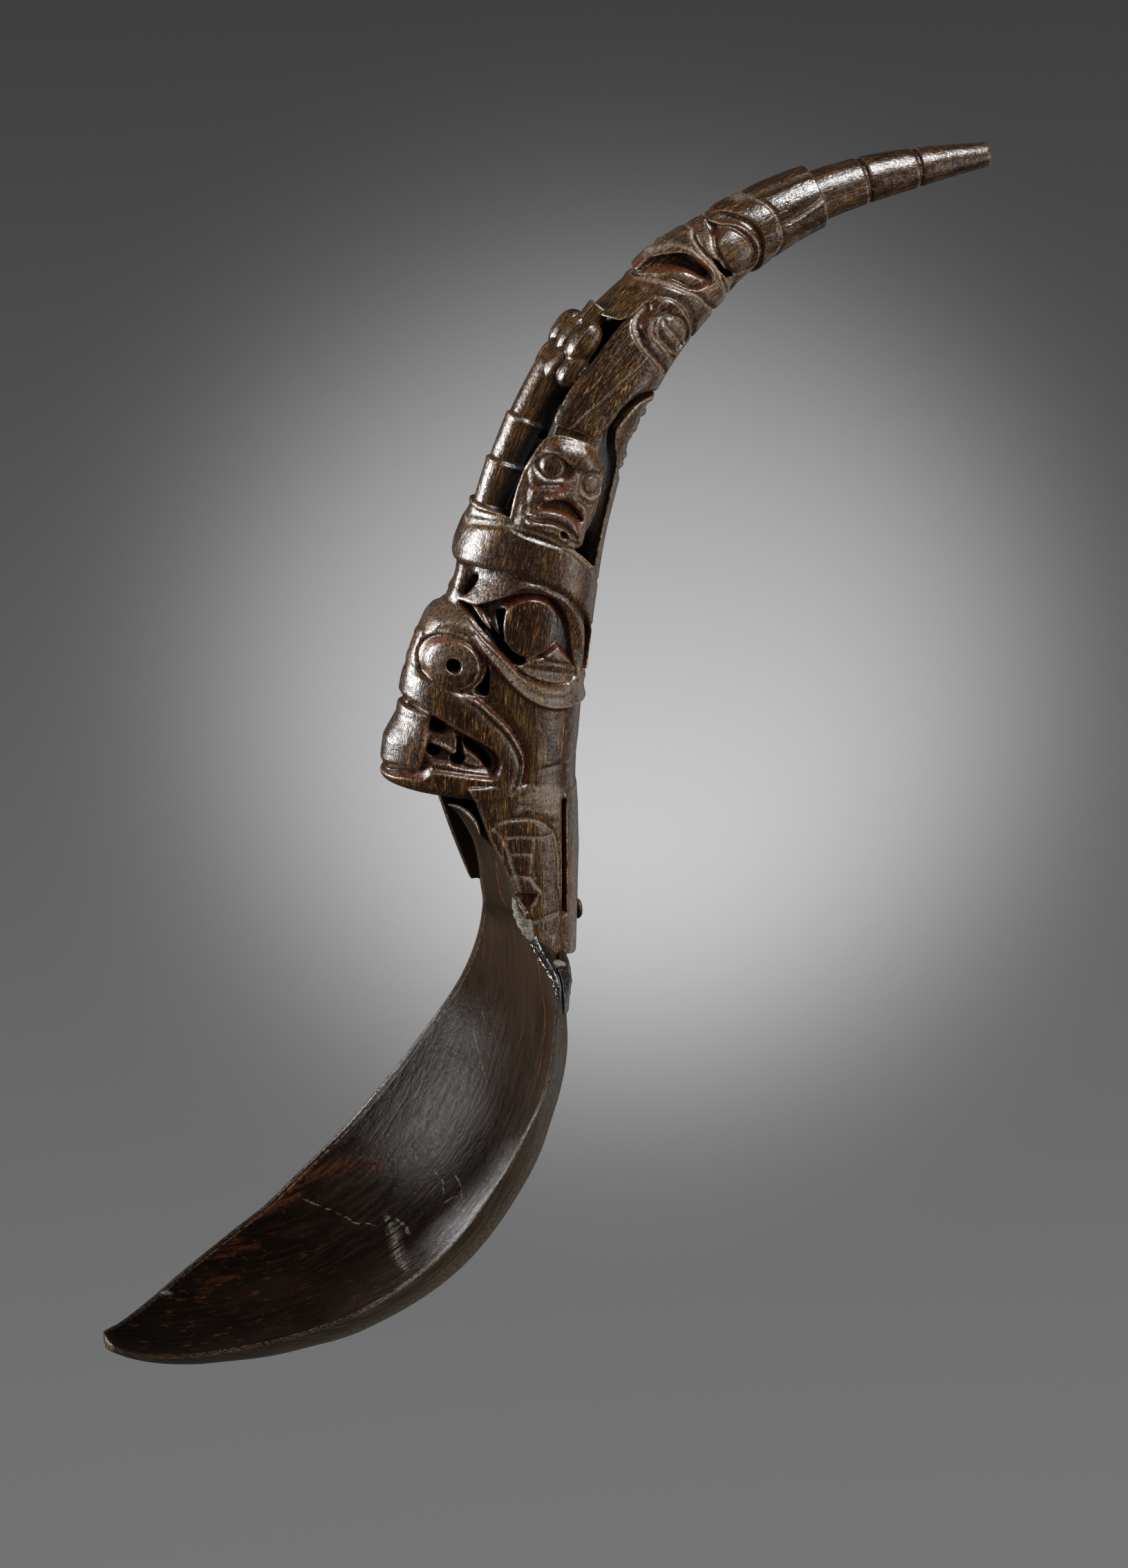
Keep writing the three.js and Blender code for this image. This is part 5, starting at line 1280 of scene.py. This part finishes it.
def paint_pitch(obj, name):
    n = Nodes(name)
    at = n.attribute("fibre")
    lump = n.noise(at, 0.9, 4, 0.6)
    crust = n.noise(at, 2.0, 5, 0.7)
    white = n.span(crust, 0.58, 0.66)
    base = n.over((0.008, 0.006, 0.005), (0.30, 0.26, 0.21), white, 0.35)
    rough = n.plus(n.span(lump, 0.3, 0.7, 0.12, 0.35), n.times(white, 0.4))
    n.finish(obj, base, rough, n.bump(lump, 0.6, 0.0004), IOR=1.5)


def paint_filler():
    n = Nodes("pale_filler")
    at = n.attribute("fibre")
    lump = n.noise(at, 1.1, 5, 0.65)
    base = n.mix(n.span(lump, 0.35, 0.65), (0.07, 0.058, 0.042), (0.22, 0.19, 0.15))
    n.finish(patch, base, 0.7, n.bump(lump, 0.6, 0.0004))


def paint_rivet():
    n = Nodes("dark_copper")
    at = n.attribute("fibre")
    cloud = n.noise(at, 1.4, 4, 0.6)
    base = n.mix(n.span(cloud, 0.4, 0.65), (0.022, 0.012, 0.008), (0.085, 0.040, 0.024))
    n.finish(rivet, base, n.span(cloud, 0.3, 0.7, 0.35, 0.6), n.bump(cloud, 0.4, 0.0002), Metallic=0.5)


paint_handle()
paint_bowl()
paint_pitch(bead, "pitch_gloss")
paint_pitch(foot, "pitch_back")
paint_filler()
paint_rivet()

# ---------------------------------------------------------------- stage, light and camera
TILT, TURN, AWAY = math.radians(19), math.radians(20), 1.300
VIEW_ANGLE = math.radians(13.52)
CAMERA_PLACE = Vector((-0.41647, -1.155, 0.53335))
TARGET = Vector((0.00393, 0.0, 0.11015))
LOOK = Vector((math.sin(TURN) * math.cos(TILT), math.cos(TURN) * math.cos(TILT), -math.sin(TILT)))
RIGHT = LOOK.cross(Vector((0, 0, 1))).normalized()
UP = RIGHT.cross(LOOK)


def seen_from(right, up, toward):
    """A place given as the camera sees it: right, up and toward the camera from the target, in metres."""
    return TARGET + RIGHT * right + UP * up - LOOK * toward


floor_mesh = bpy.data.meshes.new("studio_floor")
FLOOR_Z, REACH = -0.42, 6.0
floor_mesh.from_pydata([(-REACH, -REACH, FLOOR_Z), (REACH, -REACH, FLOOR_Z), (REACH, REACH, FLOOR_Z),
                        (-REACH, REACH, FLOOR_Z)], [], [(0, 1, 2, 3)])
floor_obj = place("studio_floor", floor_mesh)
paper = Nodes("pale_floor")
paper.finish(floor_obj, (0.62, 0.62, 0.63, 1.0), 0.9)
floor_obj.visible_glossy = False          # the spoon floats far in front of it; the floor is left out of its reflections and bounce light
floor_obj.visible_diffuse = False


def area(name, spot, aim, size, power):
    """Rectangular light at a spot, aimed at another."""
    light = bpy.data.lights.new(name, "AREA")
    light.shape = "RECTANGLE"
    light.size, light.size_y = size
    light.energy = power
    obj = place(name, light)
    obj.location = spot
    obj.rotation_euler = (aim - spot).to_track_quat("-Z", "Y").to_euler()
    return obj


def only_on(light, receivers, blockers):
    """Limits a light to some objects, and what may stand in its way."""
    for key, members in (("receiver_collection", receivers), ("blocker_collection", blockers)):
        group = bpy.data.collections.new(light.name + "_" + key)
        for member in members:
            group.objects.link(member)
        setattr(light.light_linking, key, group)


spoon = [handle, bowl, bead, patch, foot, rivet]
carved = [handle, bead, patch, foot, rivet]
for name, spot, size, power, lit, switched_off in (
        ("key_left", (-0.80, 0.13, 0.02), (0.24, 0.40), 9, carved, None),
        ("key_gloss", (-0.80, 0.13, 0.02), (0.20, 0.36), 6, carved, "visible_diffuse"),
        ("bowl_left", (-0.73, 0.10, 0.40), (0.50, 0.46), 5.5, [bowl], None),
        ("rim_right", (0.47, -0.04, -0.66), (0.16, 0.50), 0.3, carved, None),
        ("rim_bowl", (0.47, -0.14, -0.66), (0.06, 0.30), 0.12, [bowl], None),
        ("bowl_edge", (-0.64, 0.35, -0.53), (0.04, 0.20), 2.4, [bowl], None),
        ("bowl_side", (0.70, -0.35, 0.30), (0.5, 0.5), 3.0, [bowl], "visible_glossy"),
        ("side_right", (0.85, -0.10, 0.20), (0.12, 0.55), 2.6, carved, None),
        ("high_right", (0.45, 0.75, 0.60), (0.25, 0.25), 5, carved, None),
        ("tip_gloss", (0.45, 0.75, 0.60), (0.16, 0.16), 14, carved, "visible_diffuse"),
        ("soft_right", (0.55, 0.15, 0.70), (0.5, 0.6), 4.5, carved, "visible_glossy")):
    lamp = area(name, seen_from(*spot), TARGET, size, power)
    if switched_off:
        setattr(lamp, switched_off, False)
    only_on(lamp, lit, spoon)
wash = area("floor_wash", Vector((0.2, 0.1, 1.6)), Vector((0.2, 0.1, 0.0)), (1.2, 1.2), 12)
only_on(wash, [floor_obj], [floor_obj])
# Pool of light on the floor behind the spoon, as (name, power, cone, right, up).
for name, power, cone, right, up in (("floor_pool", 240, 10.4, 0.010, 0.033),
                                     ("pool_middle", 540, 8.4, 0.014, 0.026)):
    lamp = bpy.data.lights.new(name, "SPOT")
    lamp.energy = power
    lamp.spot_size = math.radians(cone)
    lamp.spot_blend = 1.0
    lamp.shadow_soft_size = 0.05
    lamp_obj = place(name, lamp)
    lamp_obj.location = TARGET - LOOK * AWAY
    aim = seen_from(right, up, 0.0) - lamp_obj.location
    lamp_obj.rotation_euler = aim.to_track_quat("-Z", "Y").to_euler()
    only_on(lamp_obj, [floor_obj], [floor_obj])

bpy.context.scene.view_settings.view_transform = "Standard"
world = bpy.data.worlds.new("studio_world")
world.use_nodes = True
world.node_tree.nodes["Background"].inputs[0].default_value = (1.0, 1.0, 1.0, 1.0)
world.node_tree.nodes["Background"].inputs[1].default_value = 0.05
bpy.context.scene.world = world

camera_data = bpy.data.cameras.new("photo_camera")
camera_data.sensor_fit = "VERTICAL"
camera_data.angle = VIEW_ANGLE
camera_data.clip_end = 20
camera = place("photo_camera", camera_data)
camera.location = CAMERA_PLACE
camera.rotation_euler = LOOK.to_track_quat("-Z", "Y").to_euler()
bpy.context.scene.camera = camera
